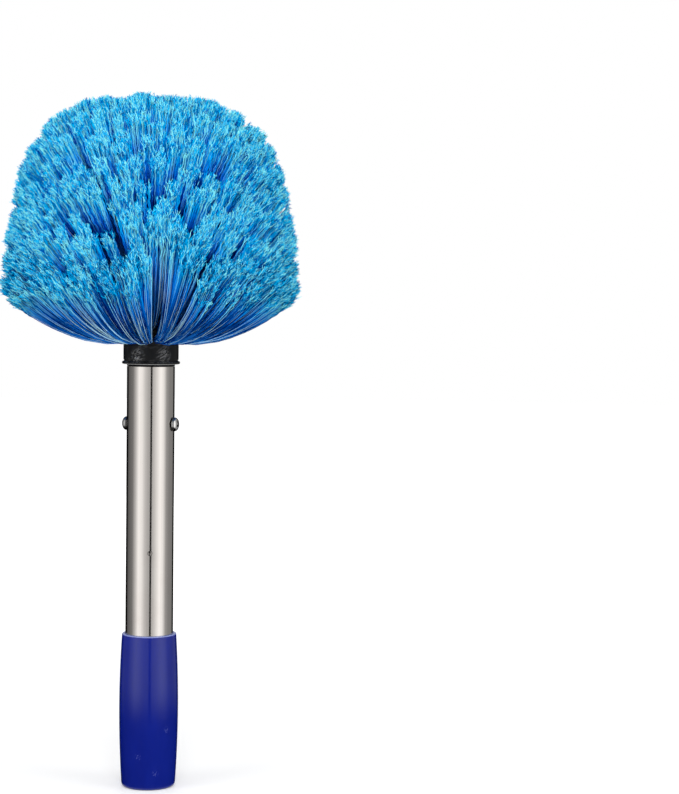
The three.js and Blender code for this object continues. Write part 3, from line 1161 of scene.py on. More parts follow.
@dataclass
class PanHeadScrew:
    """A pan head self-tapping screw with a cross recess."""

    finish: Finish
    side: Side
    height: float = 183.2
    seat: float = 12.15
    head_radius: float = 3.5
    head_land: float = 0.7
    head_height: float = 2.7
    head_round: float = 0.15
    dome_steps: int = 14
    shank_radius: float = 1.75
    length: float = 9.5
    point: float = 2.0
    point_shares: tuple[float, ...] = (0.0, 0.25, 0.5, 0.75)
    ring_step: float = 0.14
    thread_pitch: float = 1.4
    thread_depth: float = 0.45
    thread_end: float = 11.85
    recess_span: float = 4.6
    recess_slot: float = 1.15
    recess_depth: float = 1.35
    recess_over: float = 0.6
    recess_shares: Span = (1.12, 0.55)
    recess_turn: float = math.radians(28)
    sharp_angle: float = 35.0
    sides: int = 48

    def thread(self, angle: np.ndarray, height: np.ndarray, radius: np.ndarray) -> np.ndarray:
        """Finds how far the shank sinks between its threads.

        Args:
            angle: the points' angles.
            height: their heights.
            radius: their radii.

        Returns:
            Moves outwards, below 0 between threads and 0 off the shank.
        """
        on_shank = (radius > TOUCHING) & (radius <= self.shank_radius + TOUCHING)
        on_shank = on_shank & (height < self.thread_end)
        rise = thread_rise(angle, height, self.thread_pitch, self.thread_depth)
        return np.where(on_shank, (rise - self.thread_depth) * radius / self.shank_radius, 0.0)

    def body(self) -> Draft:
        """Makes the screw along +Z, before its recess is cut.

        Returns:
            The screw.
        """
        tip = self.seat - self.length
        land = self.seat + self.head_land
        point = [(self.shank_radius * share, tip + self.point * share) for share in self.point_shares]
        rows = np.arange(tip + self.point, self.seat, self.ring_step)
        shank = [(self.shank_radius, float(row)) for row in rows]
        corners = [
            (self.shank_radius, self.seat, 0.0),
            (self.head_radius, self.seat, self.head_round),
            (self.head_radius, land, 0.0),
        ]
        rise = self.head_height - self.head_land
        angles = np.linspace(0, math.pi / 2, self.dome_steps)[1:-1]
        dome = [(self.head_radius * math.cos(angle), land + rise * math.sin(angle)) for angle in angles]
        outline = point + shank + rounded(corners, steps=3, closed=False) + dome
        outline.append((0.0, self.seat + self.head_height))
        return turned(outline, self.sides, closed=False, press=self.thread)

    def recess(self) -> Draft:
        """Makes the cutter of the cross recess, which narrows towards its bottom.

        Returns:
            The cutter.
        """
        top = self.seat + self.head_height
        rings = []
        heights = (top + self.recess_over, top - self.recess_depth)
        for height, share in zip(heights, self.recess_shares, strict=True):
            span, slot = self.recess_span / 2 * share, self.recess_slot / 2 * (0.5 + share / 2)
            for turn in range(4):
                angle = turn * math.pi / 2 + self.recess_turn
                cosine, sine = math.cos(angle), math.sin(angle)
                quarter = ((span, -slot), (span, slot), (slot, slot))
                rings += [(x * cosine - y * sine, x * sine + y * cosine, height) for x, y in quarter]
        ring = len(rings) // 2
        faces = [tuple(range(ring)), tuple(range(2 * ring - 1, ring - 1, -1))]
        for side in range(ring):
            beside = (side + 1) % ring
            faces.append((side, side + ring, beside + ring, beside))
        return Draft(np.array(rings, float), faces)

    def cut(self, piece: bpy.types.Object, cutter: bpy.types.Object) -> None:
        """Cuts one object from another and removes the cutter.

        Args:
            piece: the object that is cut.
            cutter: the object that is taken away.
        """
        boolean = piece.modifiers.new("cut", "BOOLEAN")
        boolean.operation = "DIFFERENCE"
        boolean.solver = "EXACT"
        boolean.object = cutter
        graph = bpy.context.evaluated_depsgraph_get()
        made = bpy.data.meshes.new_from_object(piece.evaluated_get(graph))
        piece.modifiers.clear()
        piece.data = made
        made.set_sharp_from_angle(angle=math.radians(self.sharp_angle))
        bpy.data.objects.remove(cutter)

    def build(self) -> bpy.types.Object:
        """Builds the screw in place of its CAD node.

        Returns:
            The piece.
        """
        node, heading = self.side.value
        place = Matrix.Translation((0, 0, self.height)) @ Matrix.Rotation(math.radians(heading), 4, "Z")
        place = place @ Matrix.Rotation(math.pi / 2, 4, "Y")
        piece = self.body().placed(place).object(f"{node}_body", self.finish, self.sharp_angle)
        self.cut(piece, self.recess().placed(place).object(f"{node}_cutter", self.finish))
        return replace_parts(piece, node)


# Bristles


@dataclass(frozen=True)
class Dome:
    """Half the section of a dome, level at its top and tucked in a little below its foot."""

    foot: float
    radius: float
    height: float
    taper: float
    power: float
    drop: float = 0.0
    tuck: float = 0.0
    crown: float = 0.0

    def profile(self) -> np.ndarray:
        """Finds fine points along the section.

        Returns:
            (radius, height) points from the foot to the top.
        """
        tuck_power, crown_power = 1.5, 6
        steps, rim_steps = 2000, 40
        angle = np.linspace(0, math.pi / 2, steps + 1)
        rise = np.sin(angle) ** (2 / self.power)
        width = (self.radius - self.taper * rise) * np.clip(np.cos(angle), 0, 1) ** (2 / self.power)
        fall = self.crown * (width / self.radius) ** 2 * rise**crown_power
        points = np.column_stack([width, self.foot + self.height * rise - fall])
        if self.drop > 0:
            below = np.linspace(1, 0, rim_steps + 1)[:-1]
            rim = [self.radius - self.tuck * below**tuck_power, self.foot - self.drop * below]
            points = np.vstack([np.column_stack(rim), points])
        return points

    def settled(self, places: np.ndarray) -> np.ndarray:
        """Moves places straight to or from the foot's centre until they are on the dome.

        Args:
            places: (radius, height) places, (n, 2).

        Returns:
            The moved places.
        """
        centre = [0.0, self.foot]
        points, offset = self.profile() - centre, places - centre
        angle = np.arctan2(offset[:, 1], offset[:, 0])
        reach = np.interp(angle, np.arctan2(points[:, 1], points[:, 0]), np.hypot(*points.T))
        return unit(offset) * reach[:, None] + centre

    def at(self, shares: np.ndarray, by_area: bool = False) -> tuple[np.ndarray, np.ndarray]:
        """Finds places by their share of the section's length or of the dome's area.

        Args:
            shares: numbers from 0 at the foot to 1 at the top.
            by_area: whether the shares are of the area.

        Returns:
            The (radius, height) points there and the section's unit directions, both (n, 2).
        """
        points = self.profile()
        steps = np.hypot(*np.diff(points, axis=0).T)
        length = np.concatenate([[0], np.cumsum(steps)])
        wanted = shares * length[-1]
        if by_area:
            area = np.concatenate([[0], np.cumsum(steps * (points[1:, 0] + points[:-1, 0]))])
            wanted = np.interp(shares * area[-1], area, length)
        places = [np.clip(wanted + step, 0, length[-1]) for step in (0, 1, -1)]
        found, ahead, behind = (
            np.column_stack([np.interp(place, length, part) for part in points.T]) for place in places
        )
        return found, unit(ahead - behind)


@dataclass
class Tufts:
    """One row of arrays for each tuft: its hole, which way that faces, its end and its row."""

    root: np.ndarray
    facing: np.ndarray
    tip: np.ndarray
    row: np.ndarray


@dataclass
class Clumps:
    """The smaller bundles that the tufts part into: their paths, and how each one ends."""

    root: np.ndarray
    bend: np.ndarray
    tip: np.ndarray
    side: np.ndarray
    normal: np.ndarray
    stretch: np.ndarray
    row: np.ndarray

    def path(self, which: np.ndarray) -> tuple[np.ndarray, ...]:
        """Returns the root, bend and tip of some clumps, each (n, 1, 3)."""
        return tuple(part[which][:, None] for part in (self.root, self.bend, self.tip))

    def point(self, which: np.ndarray, share: np.ndarray) -> np.ndarray:
        """Finds points on the paths of some clumps.

        Args:
            which: the clumps' numbers, (n,).
            share: shares of the path, (n, rings).

        Returns:
            The points, (n, rings, 3).
        """
        start, middle, end = self.path(which)
        share = share[..., None]
        return start * (1 - share) ** 2 + middle * 2 * share * (1 - share) + end * share**2

    def heading(self, which: np.ndarray, share: np.ndarray) -> np.ndarray:
        """Returns the path's unit directions for some clumps at shares of shape (n, rings)."""
        start, middle, end = self.path(which)
        return unit((middle - start) * (1 - share[..., None]) + (end - middle) * share[..., None])

    def length(self, which: np.ndarray) -> np.ndarray:
        """Measures the paths of some clumps.

        Args:
            which: the clumps' numbers, (n,).

        Returns:
            The lengths, (n, 1).
        """
        start, middle, end = self.path(which)
        sides = [np.linalg.norm(part, axis=2) for part in (middle - start, end - middle, end - start)]
        return sum(sides) / 2


@dataclass
class Strands:
    """Thin three-sided tubes: their middle lines, radii, places along the filament and shades."""

    line: np.ndarray
    radius: np.ndarray
    along: np.ndarray
    shade: np.ndarray

    def taken(self, first: int, last: int) -> "Strands":
        """Returns the strands from first up to last."""
        return Strands(*(part[first:last] for part in (self.line, self.radius, self.along, self.shade)))

    def face_count(self) -> int:
        """Returns how many triangles each strand has."""
        return (self.radius.shape[1] - 1) * 6 + 2

    def arrays(self, lean: float) -> tuple[np.ndarray, ...]:
        """Makes the strands' faces.

        Args:
            lean: how far the normals of a tip's walls lean to its end, in radians, since split ends
                scatter light all round.

        Returns:
            Points (n, 3), their normals (n, 3), quads (n, 4), their map places (n, 4, 2), end
            triangles (n, 3) and their map places (n, 3, 2).
        """
        skew = [0.31, 0.17, 0.23]
        lean_start, lean_run = 0.55, 0.35
        strip_width = 0.01
        count, rings = self.radius.shape
        ahead = unit(np.gradient(self.line, axis=1))
        across = unit(np.cross(ahead, unit(self.line[:, -1:] - self.line[:, :1]) + skew))
        third = np.cross(ahead, across)
        turn = np.arange(3) * 2 * math.pi / 3
        ring = across[:, :, None] * np.cos(turn)[:, None] + third[:, :, None] * np.sin(turn)[:, None]
        points = self.line[:, :, None] + ring * self.radius[:, :, None, None]
        angle = lean * np.clip((self.along - lean_start) / lean_run, 0, 1)[:, :, None, None]
        normals = ring * np.cos(angle) + ahead[:, :, None] * np.sin(angle)
        corner = np.arange(count * rings * 3).reshape(count, rings, 3)
        beside = np.roll(corner, -1, axis=2)
        quads = np.stack([corner[:, :-1], beside[:, :-1], beside[:, 1:], corner[:, 1:]], axis=-1)
        along = np.repeat(self.along[:, :, None], 3, axis=2)
        low, high = along[:, :-1], along[:, 1:]
        left = np.broadcast_to(self.shade[:, None, None], low.shape)
        right = left + strip_width
        quad_map = np.stack([left, low, right, low, right, high, left, high], axis=-1)
        ends = np.concatenate([corner[:, 0, ::-1], corner[:, -1]])
        level = np.concatenate([self.along[:, 0], self.along[:, -1] - strip_width])
        edge = np.concatenate([self.shade, self.shade])
        end_map = np.stack([edge, level, edge + strip_width, level, edge, level + strip_width], axis=-1)
        shapes = ((-1, 3), (-1, 3), (-1, 4), (-1, 4, 2), (-1, 3), (-1, 3, 2))
        found = (points, normals, quads, quad_map, ends, end_map)
        return tuple(part.reshape(shape) for part, shape in zip(found, shapes, strict=True))


def strand_mesh(name: str, bundles: Sequence[Strands], map_name: str, lean: float) -> bpy.types.Mesh:
    """Makes one mesh of several bundles of strands.

    Args:
        name: the mesh's name.
        bundles: the strands.
        map_name: the name of their map.
        lean: how far the tips' normals lean to their ends, in radians.

    Returns:
        The mesh, in metres and shaded smooth.
    """
    parts = [bundle.arrays(lean) for bundle in bundles]
    starts = np.cumsum([0] + [len(part[0]) for part in parts[:-1]])
    points, normals = (np.concatenate([part[kind] for part in parts]) for kind in (0, 1))
    quads, ends = (
        np.concatenate([part[kind] + start for part, start in zip(parts, starts, strict=True)])
        for kind in (2, 4)
    )
    places = np.concatenate([part[kind].reshape(-1) for kind in (3, 5) for part in parts])
    loops = np.concatenate([quads.reshape(-1), ends.reshape(-1)])
    sizes = np.repeat([4, 3], [len(quads), len(ends)])
    mesh = bpy.data.meshes.new(name)
    mesh.vertices.add(len(points))
    mesh.vertices.foreach_set("co", (points * METRES).astype(np.float32).reshape(-1))
    mesh.loops.add(len(loops))
    mesh.loops.foreach_set("vertex_index", loops.astype(np.int32))
    mesh.polygons.add(len(sizes))
    mesh.polygons.foreach_set("loop_start", (np.cumsum(sizes) - sizes).astype(np.int32))
    mesh.uv_layers.new(name=map_name).data.foreach_set("uv", places.astype(np.float32))
    mesh.update(calc_edges=True)
    mesh.shade_smooth()
    own = mesh.attributes.new("custom_normal", "FLOAT_VECTOR", "POINT")
    own.data.foreach_set("vector", normals.astype(np.float32).reshape(-1))
    return mesh


@dataclass(frozen=True)
class Habit:
    """How a kind of filament grows.

    Widening is how many times as wide as others its clumps spread, and crimp_start is how far along
    a filament its crimps begin. Unevenness is how much its shade varies, and lines is the share of
    filaments that are thin and carry a painted sheen.
    """

    radius: float
    widening: float
    crimp_start: float
    shade: float
    unevenness: float
    lines: float


@dataclass
class BristleHead:
    """The block and its tufts, which part into clumps of crimped filaments whose ends are split."""

    bristle: BristleFilament
    fan: BristleFilament
    moulding: Finish
    block_foot: float = 222.8
    block_radius: float = 13.8
    block_height: float = 66.2
    block_round: float = 13.2
    block_rings: tuple[int, int] = (40, 24)
    block_sides: int = 96
    rim_foot: float = 252.8
    brush_radius: float = 74.5
    brush_rise: float = 96.0
    brush_taper: float = 7.45
    brush_power: float = 3.1
    shell_radius: float = 74.2
    shell_rise: float = 94.6
    shell_taper: float = 8.0
    shell_power: float = 3.5
    shell_drop: float = 4.5
    shell_tuck: float = 2.0
    shell_crown: float = 6.5
    row_count: int = 13
    most_in_row: int = 31
    tuft_spacing: float = 11.0
    first_root: float = 2.6
    root_depth: float = 2.0
    root_spread: float = 1.2
    root_jitter: float = 0.15
    bend_share: float = 0.45
    low_sag: float = 1.0
    high_sag: float = 0.12
    sagging_rows: float = 5.0
    droop: float = 3.1
    clump_count: int = 720
    clump_spacing: float = 2.2
    clump_jitter: float = 0.25
    least_radius: float = 6.0
    tuft_jitter: float = 1.3
    gather: float = 0.36
    clump_half: float = 2.95
    clump_sizes: Span = (0.8, 1.2)
    clump_unevenness: float = 1.5
    short_share: float = 0.18
    short_by: Span = (7.0, 18.0)
    parting_turn: float = math.radians(-84.5)
    parting_push: float = 4.0
    parting_push_width: float = 0.16
    parting_root: float = 0.26
    parting_rows: int = 3
    parting_lift: float = 27.0
    parting_lift_width: float = 0.14
    parting_height: float = 34.0
    fan_rows: int = 2
    fan_habit: Habit = Habit(
        radius=0.18, widening=1.5, crimp_start=0.8, shade=0.44, unevenness=0.38, lines=0.25
    )
    tuft_habit: Habit = Habit(
        radius=0.24, widening=1.0, crimp_start=0.62, shade=0.68, unevenness=0.33, lines=0.03
    )
    filaments_per_clump: int = 32
    corner_share: float = 0.2
    least_facing: float = 0.35
    trim_share: float = 0.7
    most_trim: float = 4.0
    unevenness: float = 0.7
    overshoot: float = 0.3
    stretches: Span = (-16.0, 3.0)
    stem_share: float = 0.95
    low_knots: tuple[float, ...] = (0.0, 0.2, 0.4)
    knot_jitter: float = 0.014
    crimps: int = 8
    crimp_step: float = 0.04
    crimp_depth: float = 0.34
    crimp_sizes: Span = (0.6, 1.25)
    crimp_run: float = 0.1
    sway: float = 0.6
    flare_share: float = 0.86
    stray_share: float = 0.02
    stray_by: float = 1.8
    stray_power: int = 4
    clump_shade: float = 0.08
    shades: Span = (0.02, 0.89)
    # The shade of the thin strands, which carries a painted sheen.
    sheen_line_shade: float = 0.95
    sheen_line_radius: float = 0.14
    splits: int = 3
    split_rings: int = 5
    heading_knots: int = 5
    split_radius: float = 0.2
    split_taper: float = 0.4
    split_sink: float = 0.06
    split_sizes: Span = (0.86, 1.04)
    split_splay: float = 0.2
    most_splay: float = 0.4
    splay_power: float = 1.3
    split_end: float = 0.985
    split_shade: float = 0.7
    split_unevenness: float = 0.3
    kink: float = 0.2
    tip_lean: float = math.radians(54)
    face_limit: int = 190_000
    slices: tuple[tuple[str, str, int, int], ...] = (
        ("bristles_lower", "fan", 0, 2),
        ("bristles_lower", "tufts", 2, 3),
        ("bristles_middle", "tufts", 3, 6),
        ("bristles_upper", "tufts", 6, 9),
        ("bristles_crown", "tufts", 9, 13),
    )
    seed: int = 7
    dice: np.random.Generator = field(init=False)

    def __post_init__(self) -> None:
        """Seeds the dice, so that every run gives the same brush."""
        self.dice = np.random.default_rng(self.seed)

    def block_place(self, distance: float) -> tuple[float, float, float]:
        """Finds a place on the block's outside.

        Args:
            distance: how far up from the foot it is, over the outside.

        Returns:
            Its radius, its height and how far the outside leans there, in radians.
        """
        wall = self.block_height - self.block_round
        if distance < wall:
            return self.block_radius, self.block_foot + distance, 0.0
        lean = min((distance - wall) / self.block_round, math.pi / 2)
        rise = self.block_round * math.sin(lean)
        return self.block_radius * math.cos(lean), self.block_foot + wall + rise, lean

    def block_girth(self) -> float:
        """Returns the distance over the block's outside from its foot to its top."""
        return self.block_height - self.block_round + self.block_round * math.pi / 2

    def build_block(self) -> bpy.types.Object:
        """Builds the block that the tufts are set in.

        Returns:
            The piece.
        """
        wall = self.block_height - self.block_round
        low, high = self.block_rings
        over = np.linspace(wall, self.block_girth(), high)[1:]
        places = np.concatenate([np.linspace(0, wall, low), over])
        outline = [(0.0, self.block_foot)] + [self.block_place(float(place))[:2] for place in places]
        outline[-1] = (0.0, outline[-1][1])
        draft = turned(outline, self.block_sides, closed=False)
        piece = draft.object("brush_block", self.moulding)
        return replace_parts(piece, *dict.fromkeys(node for node, _, _, _ in self.slices))

    def shell(self) -> Dome:
        """Returns the dome that the filaments are trimmed to."""
        sizes = (self.shell_radius, self.shell_rise, self.shell_taper, self.shell_power)
        return Dome(self.rim_foot, *sizes, self.shell_drop, self.shell_tuck, self.shell_crown)

    def tufts(self) -> Tufts:
        """Sets every tuft, row by row, where the CAD model has its strand.

        Returns:
            The tufts.
        """
        shares = np.linspace(0, 1, self.row_count)
        dome = Dome(self.rim_foot, self.brush_radius, self.brush_rise, self.brush_taper, self.brush_power)
        tips, _ = dome.at(shares)
        columns: list[tuple] = []
        for row, share in enumerate(shares):
            distance = self.first_root + (self.block_girth() - self.first_root) * share
            radius, height, lean = self.block_place(distance)
            tip_radius, tip_height = tips[row]
            count = min(self.most_in_row, max(1, round(2 * math.pi * tip_radius / self.tuft_spacing)))
            for place in range(count):
                turn = 2 * math.pi * (place + (row % 2) / 2) / count
                out = np.array([math.cos(turn), math.sin(turn), 0.0])
                facing = out * math.cos(lean) + UP * math.sin(lean)
                root = out * radius + UP * height - facing * self.root_depth
                columns.append((root, facing, out * tip_radius + UP * tip_height, row))
        return Tufts(*[np.array(column, float) for column in zip(*columns, strict=True)])

    def clumps(self, tufts: Tufts) -> Clumps:
        """Spreads clumps evenly but not regularly over the dome, each from the nearest tuft's hole.

        Args:
            tufts: the tufts.

        Returns:
            The clumps, sorted by their tuft's row.
        """
        dice, count = self.dice, self.clump_count
        golden_share = 3 - math.sqrt(5)
        order = np.arange(count)
        turn = order * math.pi * golden_share
        ends, climbs = self.shell().at((order + 0.5) / count, by_area=True)
        jitter = np.clip(dice.normal(0, 1, (count, 2)), -2, 2) * self.clump_jitter * self.clump_half
        jitter = jitter * self.clump_spacing
        turn = turn + jitter[:, 0] / np.maximum(ends[:, 0], self.least_radius)
        ends = ends + climbs * jitter[:, 1:]
        even = np.column_stack([np.cos(turn) * ends[:, 0], np.sin(turn) * ends[:, 0], ends[:, 1]])
        centre = tufts.tip + np.clip(dice.normal(0, 1, tufts.tip.shape), -2, 2) * self.tuft_jitter
        hole = np.argmin(np.linalg.norm(even[:, None] - centre[None], axis=2), axis=1)
        even = even + (centre[hole] - even) * self.gather
        turn = np.arctan2(even[:, 1], even[:, 0])
        ends = self.shell().settled(np.column_stack([np.hypot(even[:, 0], even[:, 1]), even[:, 2]]))
        swing = np.arctan2(np.sin(turn - self.parting_turn), np.cos(turn - self.parting_turn))
        parting_top = self.rim_foot + self.parting_height
        lowness = np.clip((parting_top - ends[:, 1]) / self.parting_height, 0, 1)
        push = self.parting_push * np.sign(swing) * np.exp(-((swing / self.parting_push_width) ** 2))
        push = push * lowness
        turn = turn + push / self.shell_radius
        ends[:, 1] += self.parting_lift * np.exp(-((swing / self.parting_lift_width) ** 2)) * lowness
        flat = np.zeros(count)
        out = np.column_stack([np.cos(turn), np.sin(turn), flat])
        side = np.column_stack([-np.sin(turn), np.cos(turn), flat])
        tip = out * ends[:, :1] + UP * ends[:, 1:]
        climb = out * climbs[:, :1] + UP * climbs[:, 1:]
        order = np.argsort(tufts.row[hole], kind="stable")
        hole, tip, side, climb, push = (part[order] for part in (hole, tip, side, climb, push))
        row = tufts.row[hole]
        root = tufts.root[hole] + (push * self.parting_root * (row < self.parting_rows))[:, None] * side
        sag = self.low_sag + (self.high_sag - self.low_sag) * np.clip(row / self.sagging_rows, 0, 1)[:, None]
        span = np.linalg.norm(tip - root, axis=1, keepdims=True)
        sagging = root + tufts.facing[hole] * span * self.bend_share
        sagging -= UP * (self.droop * np.clip(1 - row / self.fan_rows, 0, 1))[:, None]
        bend = (root + tip) / 2 * (1 - sag) + sagging * sag
        short = (dice.random(count) < self.short_share) * dice.uniform(*self.short_by, count)
        uneven = np.abs(dice.normal(0, self.clump_unevenness, count))
        stretch = -uneven - short * (row >= self.fan_rows)
        return Clumps(root, bend, tip, side, np.cross(side, climb), stretch, row)

    def grow(self, clumps: Clumps) -> tuple[Strands, Strands]:
        """Grows every filament of every clump.

        Args:
            clumps: the clumps' paths.

        Returns:
            The stems, one for each filament, and their split ends, so many in turn for each stem.
        """
        dice, clump_total = self.dice, len(clumps.row)
        which = np.repeat(np.arange(clump_total), self.filaments_per_clump)
        count = len(which)
        low = clumps.row[which] < self.fan_rows
        habits = zip(astuple(self.fan_habit), astuple(self.tuft_habit), strict=True)
        radius, widening, crimp_start, mean, unevenness, lines = (np.where(low, *pair) for pair in habits)
        spread = dice.uniform(-1, 1, (count, 2))
        spread = spread * (1 - self.corner_share * np.abs(spread[:, :1] * spread[:, 1:]))
        half = dice.uniform(*self.clump_sizes, clump_total)[which] * self.clump_half
        tip_offset = spread * half[:, None]
        tip_offset[:, 0] *= widening
        root_offset = spread * (self.root_spread * widening)[:, None]
        root_offset = root_offset + dice.normal(0, self.root_jitter, spread.shape)
        end_ahead = clumps.heading(which, np.ones((count, 1)))[:, 0]
        end_lift = np.cross(end_ahead, clumps.side[which])
        normal = clumps.normal[which]
        trim = -self.trim_share * tip_offset[:, 1:] * dot(end_lift, normal)
        facing = np.clip(dot(end_ahead, normal), self.least_facing, 1)
        trim = np.clip(trim / facing, -self.most_trim, self.most_trim)
        uneven = np.abs(dice.normal(0, self.unevenness, (count, 1)))
        stretch = clumps.stretch[which, None] + trim - uneven + self.overshoot
        reach = 1 + np.clip(stretch, *self.stretches) / clumps.length(which)
        first = self.stem_share - self.crimps * self.crimp_step
        crimp_knots = first + np.arange(self.crimps + 1) * self.crimp_step
        knots = np.concatenate([self.low_knots, [(self.low_knots[-1] + first) / 2], crimp_knots])
        slip = dice.uniform(-self.knot_jitter, self.knot_jitter, (count, 1))
        share = knots * reach + slip * (knots >= self.low_knots[-1])
        side = clumps.side[which][:, None]
        ahead = clumps.heading(which, share)
        lift = np.cross(ahead, np.broadcast_to(side, ahead.shape))
        flare = np.clip(share / self.flare_share, 0, 1)[..., None]
        offset = root_offset[:, None] + (tip_offset - root_offset)[:, None] * flare
        line = clumps.point(which, share) + side * offset[..., :1] + lift * offset[..., 1:]
        sway = dice.uniform(0, 2 * math.pi, clump_total)[which, None] + dice.normal(0, self.sway, (count, 1))
        depth = self.crimp_depth * dice.uniform(*self.crimp_sizes, (count, 1))
        depth = depth * np.clip((knots - crimp_start[:, None]) / self.crimp_run, 0, 1)
        zigzag = (depth * np.where(np.arange(len(knots)) % 2 == 0, 1, -1))[..., None]
        line += zigzag * (side * np.cos(sway)[..., None] + lift * np.sin(sway)[..., None])
        strays = dice.random((count, 1, 1)) < self.stray_share
        stray = strays * dice.normal(0, self.stray_by, (count, 1, 2))
        line += (side * stray[..., :1] + lift * stray[..., 1:]) * share[..., None] ** self.stray_power
        shade = mean + dice.normal(0, self.clump_shade, clump_total)[which]
        shade = np.clip(shade + dice.normal(0, 1, count) * unevenness, *self.shades)
        # Painted sheen: the thin strands picked here take the palest shade.
        sheen_lined = dice.random(count) < lines
        shade = np.where(sheen_lined, self.sheen_line_shade, shade)
        radius = np.broadcast_to(np.where(sheen_lined, self.sheen_line_radius, radius)[:, None], share.shape)
        stems = Strands(line, radius, np.broadcast_to(knots, share.shape), shade)
        last = clumps.point(which, reach * np.array([self.stem_share, 1.0]))
        remaining = np.linalg.norm(last[:, 1] - last[:, 0], axis=1, keepdims=True)
        return stems, self.split_ends(stems, side[:, 0], end_lift, remaining)

    def split_ends(self, stems: Strands, side: np.ndarray, lift: np.ndarray, length: np.ndarray) -> Strands:
        """Grows the fine, kinked ends that each stem splits into.

        Args:
            stems: the stems.
            side: a unit direction across each stem's end.
            lift: the other unit direction across it.
            length: how long each stem's ends are, (n, 1).

        Returns:
            The split ends, with those of one stem next to each other.
        """
        dice, rings = self.dice, self.split_rings
        base = stems.line[:, -1] * (1 - self.split_sink) + stems.line[:, -2] * self.split_sink
        ahead = unit(stems.line[:, -1] - stems.line[:, -self.heading_knots])
        parts = (base, ahead, side, lift, length, stems.shade)
        base, ahead, side, lift, length, shade = (np.repeat(part, self.splits, axis=0) for part in parts)
        count = len(base)
        step = np.linspace(0, 1, rings)[None]
        length = length * dice.uniform(*self.split_sizes, (count, 1))
        splay = np.clip(dice.normal(0, self.split_splay, (count, 1, 2)), -self.most_splay, self.most_splay)
        kink = dice.normal(0, self.kink, (count, rings, 2)) * (step[..., None] > 0)
        away = splay * length[..., None] * step[..., None] ** self.splay_power + kink
        line = base[:, None] + ahead[:, None] * (length * step)[..., None]
        line = line + side[:, None] * away[..., :1] + lift[:, None] * away[..., 1:]
        step = np.repeat(step, count, axis=0)
        radius = self.split_radius * (1 - self.split_taper * step**2)
        start = stems.along[0, -1]
        along = start + (self.split_end - start) * step
        shade = np.where(shade > self.shades[1], self.split_shade, shade)
        shade = shade + dice.normal(0, self.split_unevenness, count)
        return Strands(line, radius, along, np.clip(shade, *self.shades))

    def build(self) -> list[bpy.types.Object]:
        """Builds the block and the tufts, in pieces that each stay under the face limit.

        Returns:
            The pieces.
        """
        pieces = [self.build_block()]
        clumps = self.clumps(self.tufts())
        stems, ends = self.grow(clumps)
        row = np.repeat(clumps.row, self.filaments_per_clump)
        each = stems.face_count() + ends.face_count() * self.splits
        most = self.face_limit // each // self.filaments_per_clump * self.filaments_per_clump
        for node, part, first_row, last_row in self.slices:
            finish = self.fan if part == "fan" else self.bristle
            chosen = np.flatnonzero((row >= first_row) & (row < last_row))
            low, high = int(chosen[0]), int(chosen[-1]) + 1
            for number, start in enumerate(range(low, high, most)):
                stop = min(start + most, high)
                bundles = [stems.taken(start, stop), ends.taken(start * self.splits, stop * self.splits)]
                name = f"{node}_{part}_{number + 1}"
                piece = dressed(name, strand_mesh(name, bundles, finish.map_name, self.tip_lean), finish)
                pieces.append(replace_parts(piece, node))
        return pieces


# Studio


@dataclass(frozen=True)
class Lamp:
    """A square lamp that faces the brush.

    As seen from the brush, it stands so many degrees to the right of the camera's side and so many
    degrees up. Its size is its width in metres, and its power is in watts.
    """

    name: str
    heading: float
    height: float
    size: float
    power: float

    def build(self, aim: Vector, distance: float) -> None:
        """Adds the lamp.

        Args:
            aim: the point that it faces, in metres.
            distance: how far from that point it stands, in metres.
        """
        data = bpy.data.lights.new(self.name, "AREA")
        data.shape = "SQUARE"
        data.size = self.size
        data.energy = self.power
        turn, rise = math.radians(self.heading), math.radians(self.height)
        away = Vector((math.sin(turn) * math.cos(rise), -math.cos(turn) * math.cos(rise), math.sin(rise)))
        lamp = linked(self.name, data)
        lamp.location = aim + away * distance
        lamp.rotation_mode = "QUATERNION"
        lamp.rotation_quaternion = away.to_track_quat("Z", "Y")
        lamp.visible_glossy = False


